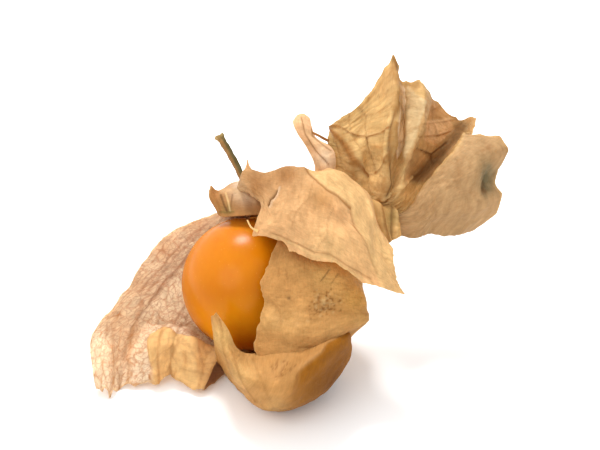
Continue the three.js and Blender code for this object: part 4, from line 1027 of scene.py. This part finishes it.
def berry_material():
    paint = Paint("ripe_berry")
    place = paint.painted("place", "Vector")
    cloud = paint.noise(place, 0.16, 3.0)
    streak = paint.noise(paint.stretched(place, (1.0, 0.25, 1.0)), 1.1, 4.0)
    pores = paint.add("TexVoronoi", {"Vector": place, "Scale": 1.4})["Distance"]
    dot = paint.spread(pores, 0.05, 0.16, 1.0, 0.0)
    fine = paint.noise(place, 6.0, 2.0)
    colour = paint.shade(paint.painted("tint", "Color"), cloud, (1.14, 1.2, 1.3),
                         (0.88, 0.80, 0.7))
    colour = paint.shade(colour, streak, (1.05, 1.07, 1.1), (0.95, 0.92, 0.9))
    colour = paint.blend(paint.times(dot, 0.16), colour, linear(250, 180, 90))
    return paint.finished(paint.skin(
        colour, paint.spread(fine, 0.0, 1.0, 0.2, 0.26), 0.11,
        **{"Normal": paint.bump([(fine, 0.2), (streak, 0.5), (dot, 0.25)], 0.35, 0.05),
           "Subsurface Weight": 0.35, "Subsurface Radius": (3.0, 1.2, 0.35),
           "Subsurface Scale": 0.8 * MM}))


def stalk_material():
    paint = Paint("cut_stalk")
    place = paint.painted("place", "Vector")
    bark = paint.noise(paint.stretched(place, (6.0, 0.7, 6.0)), 1.0, 4.0)
    hair = paint.noise(place, 7.0, 2.0)
    colour = paint.shade(paint.painted("tint", "Color"), bark, (1.5, 1.45, 1.3),
                         (0.5, 0.52, 0.5))
    normal = paint.bump([(bark, 1.0), (hair, 0.4)], 0.9, 0.1)
    rough = paint.spread(hair, 0.0, 1.0, 0.55, 0.85)
    return paint.finished(paint.skin(colour, rough, 0.3, Normal=normal))


# ---- berry ----
def berry_piece(material):
    """Berry of the part's own shape, finer: nearly round, dimpled at its two ends."""
    rows, columns = 120, 160
    rise, turn = np.meshgrid(np.linspace(-math.pi / 2, math.pi / 2, rows + 1),
                             np.linspace(0, math.tau, columns + 1), indexing="ij")
    r = BERRY_RADIUS * np.cos(rise)
    dimple = np.where(rise > 0, *BERRY_DIMPLES) * bell(r, DIMPLE_REACH)
    v = np.sin(rise) * (BERRY_RADIUS * BERRY_LENGTH - dimple)
    place = np.stack([r * np.cos(turn), v, r * np.sin(turn)], -1)
    soft = BERRY_SWELL * np.sin(3 * turn + 1) * np.cos(rise) ** 2
    place *= 1 + soft[..., None] / BERRY_RADIUS
    u, v, w = place[..., 0], place[..., 1], place[..., 2]
    tint = np.broadcast_to(linear(188, 109, 6), place.shape)
    for colour, amount in [
            # darker towards the right: the fruit's own tone and painted shade
            (linear(182, 102, 2), 0.5 * smooth(-1.0, 9.0, 0.8 * u + 0.2 * w)),
            # paler towards the upper left: painted light on the lit side, and a painted
            # reflection at the left rim
            (linear(184, 108, 30), 0.6 * smooth(0.0, 9.0, -0.7 * u + 0.5 * v)),
            # lighter at the lower left: a painted reflection of the pale left lobe
            (linear(240, 156, 24), 0.85 * smooth(0.0, -9.0, v) * smooth(-9.0, -1.0, u)),
            (linear(216, 130, 40), 0.4 * bell(9.8 - v, 2.0))]:
        tint = mixed(tint, colour, amount)
    faces = quads(rows + 1, columns + 1)
    grid = np.stack([turn / math.tau, (rise + math.pi / 2) / math.pi], -1).reshape(-1, 2)
    made = add_mesh("berry_skin", to_world(place).reshape(-1, 3), faces.tolist(),
                    grid[faces] * UV_SPAN + UV_EDGE,
                    {"tint": tint.reshape(-1, 3), "place": place.reshape(-1, 3)})
    weld(made)
    made.data.materials.append(material)
    return made


# ---- stalk ----
STALK_PATH = [[0.2, 11.0, -0.8], [0.0, 13.0, -1.0], [-0.9, 15.2, -1.8], [-2.4, 18.2, -3.0],
              [-3.7, 20.4, -3.8], [-4.6, 21.8, -4.2]]
STALK_RADIUS = 0.52
STALK_LENGTH = 14
STALK_FOOT = (0.24, 0.12)       # what it is thicker by, and over which share of its length
STALK_FLARE = (0.2, 0.06)       # the same at its cut tip


def stalk_piece(material):
    """Rod along the stalk's curve, ridged and rough, with a flared and broken tip."""
    rings, sides = 110, 28
    t = np.linspace(0, 1, rings + 1)
    path = on_net(np.stack([STALK_PATH, STALK_PATH], 1), t * (len(STALK_PATH) - 1), 0 * t)
    path = to_world(path)
    tangent = np.gradient(path, axis=0)
    tangent /= lengths(tangent)[:, None]
    across = np.cross(tangent, [0, 1, 0.4])
    across /= lengths(across)[:, None]
    other = np.cross(across, tangent)
    tt, aa = np.meshgrid(t, np.linspace(0, math.tau, sides + 1), indexing="ij")
    foot = STALK_FOOT[0] * bell(tt, STALK_FOOT[1])
    flare = STALK_FLARE[0] * bell(1 - tt, STALK_FLARE[1])
    ridge = 1 + 0.09 * np.cos(4 * aa + 2 * tt) + 0.04 * np.cos(9 * aa - 5 * tt + 1)
    knots = 0.03 * np.sin(34 * tt + 2 * np.sin(aa)) + 0.02 * np.sin(71 * tt + aa)
    r = (STALK_RADIUS + foot + flare) * ridge + knots
    points = (path[:, None] + across[:, None] * (r * np.cos(aa))[..., None]
              + other[:, None] * (r * np.sin(aa))[..., None])
    chipped = 0.09 * np.sin(3 * aa) * bell(1 - tt, 0.03)
    points += tangent[:, None] * chipped[..., None]
    ends = [path[0] - tangent[0] * 0.02, path[-1] - tangent[-1] * 0.12]

    brown = linear(134, 94, 46)
    # painted shade: one side of the rod darker olive
    side = smooth(0.05, 0.95, -np.cos(aa + 0.3 + 0.2 * np.sin(9 * tt)))
    tint = mixed(np.broadcast_to(brown, points.shape), linear(74, 62, 22), side)
    tint = mixed(tint, linear(176, 150, 98), 0.7 * bell(1 - tt, 0.08))
    place = np.stack([np.cos(aa) * 0.6, tt * STALK_LENGTH, np.sin(aa) * 0.6], -1)

    faces = quads(rings + 1, sides + 1).tolist()
    last, foot_end = rings * (sides + 1), (rings + 1) * (sides + 1)
    for k in range(sides):
        faces.append([foot_end, k + 1, k])
        faces.append([foot_end + 1, last + k, last + k + 1])
    grid = np.stack([aa / math.tau * 0.9, tt * UV_SPAN], -1).reshape(-1, 2) + UV_EDGE
    grid = np.concatenate([grid, [[0.95, 0.05], [0.95, 0.95]]])
    rod = add_mesh("stalk_rod", np.concatenate([points.reshape(-1, 3), ends]), faces,
                   grid[[corner for face in faces for corner in face]], {
        "tint": np.concatenate([tint.reshape(-1, 3), [brown, linear(150, 124, 74)]]),
        "place": np.concatenate([place.reshape(-1, 3), [[0, 0, 0], [0, STALK_LENGTH, 0]]])})
    weld(rod)
    rod.data.set_sharp_from_angle(angle=SHARP)
    rod.data.materials.append(material)
    return rod


# ---- the pieces ----
dry_husk = husk_material("dry_husk", 0.4, 0.0)
thin_husk = husk_material("thin_husk", 0.58, 0.35)
for lobe_name in LOBES:
    skin = thin_husk if lobe_name == "left" else dry_husk
    piece = paper("husk_" + lobe_name, shape_lobe(lobe_name), skin)
    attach(piece, "root")
    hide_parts("husk")

berry = berry_piece(berry_material())
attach(berry, "root")
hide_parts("berry")

stalk = stalk_piece(stalk_material())
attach(stalk, "root")
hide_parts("stalk")


# ---- floor, light and camera ----
def add_floor(half=3000.0):
    """Square table, with that half-side in millimetres."""
    corners = [(-half, -half, 0), (half, -half, 0), (half, half, 0), (-half, half, 0)]
    floor = add_mesh("floor", corners, [(0, 1, 2, 3)])
    paint = Paint("pale_floor")
    floor.data.materials.append(paint.finished(paint.skin((0.93, 0.93, 0.93, 1), 0.9, 0.1)))


def stand_back(made, centre, direction, distance):
    """Stands a lamp or camera that far from the centre in that direction, turned to it."""
    back = Vector(direction).normalized()
    made.location = centre + back * distance
    made.rotation_mode = "QUATERNION"
    made.rotation_quaternion = back.to_track_quat("Z", "Y")


def add_lamp(name, direction, distance, size, power):
    """Round soft lamp in that direction from the fruit."""
    lamp = bpy.data.lights.new(name, "AREA")
    lamp.shape = "DISK"
    lamp.size = size
    lamp.energy = power
    stand_back(in_scene(name, lamp), Vector((0, 0, SEAT * MM)), direction, distance)


def add_camera(lens=200.0, sensor=36.0, seen_width=0.088):
    """Long lens along the fruit's own w axis, far enough to see that width in metres."""
    camera = in_scene("camera", bpy.data.cameras.new("camera"))
    camera.data.lens, camera.data.sensor_width = lens, sensor
    camera.data.clip_start, camera.data.clip_end = 0.02, 20.0
    bpy.context.scene.camera = camera
    centre = Vector(to_world([7.4, 8.6, 0.0]) * MM)
    stand_back(camera, centre, OUTWARD, seen_width * lens / sensor)


add_floor()
add_lamp("overhead", (-0.165, 0.41, 0.89), distance=0.35, size=0.1, power=1.0)
add_lamp("front", (-0.6, -0.7, 0.75), distance=0.8, size=0.6, power=2.0)
add_camera()
world = bpy.data.worlds.new("studio")
bpy.context.scene.world = world
world.use_nodes = True
sky = world.node_tree.nodes["Background"].inputs
sky["Color"].default_value = (1, 1, 1, 1)
sky["Strength"].default_value = 1.12
bpy.context.scene.view_settings.view_transform = "Standard"
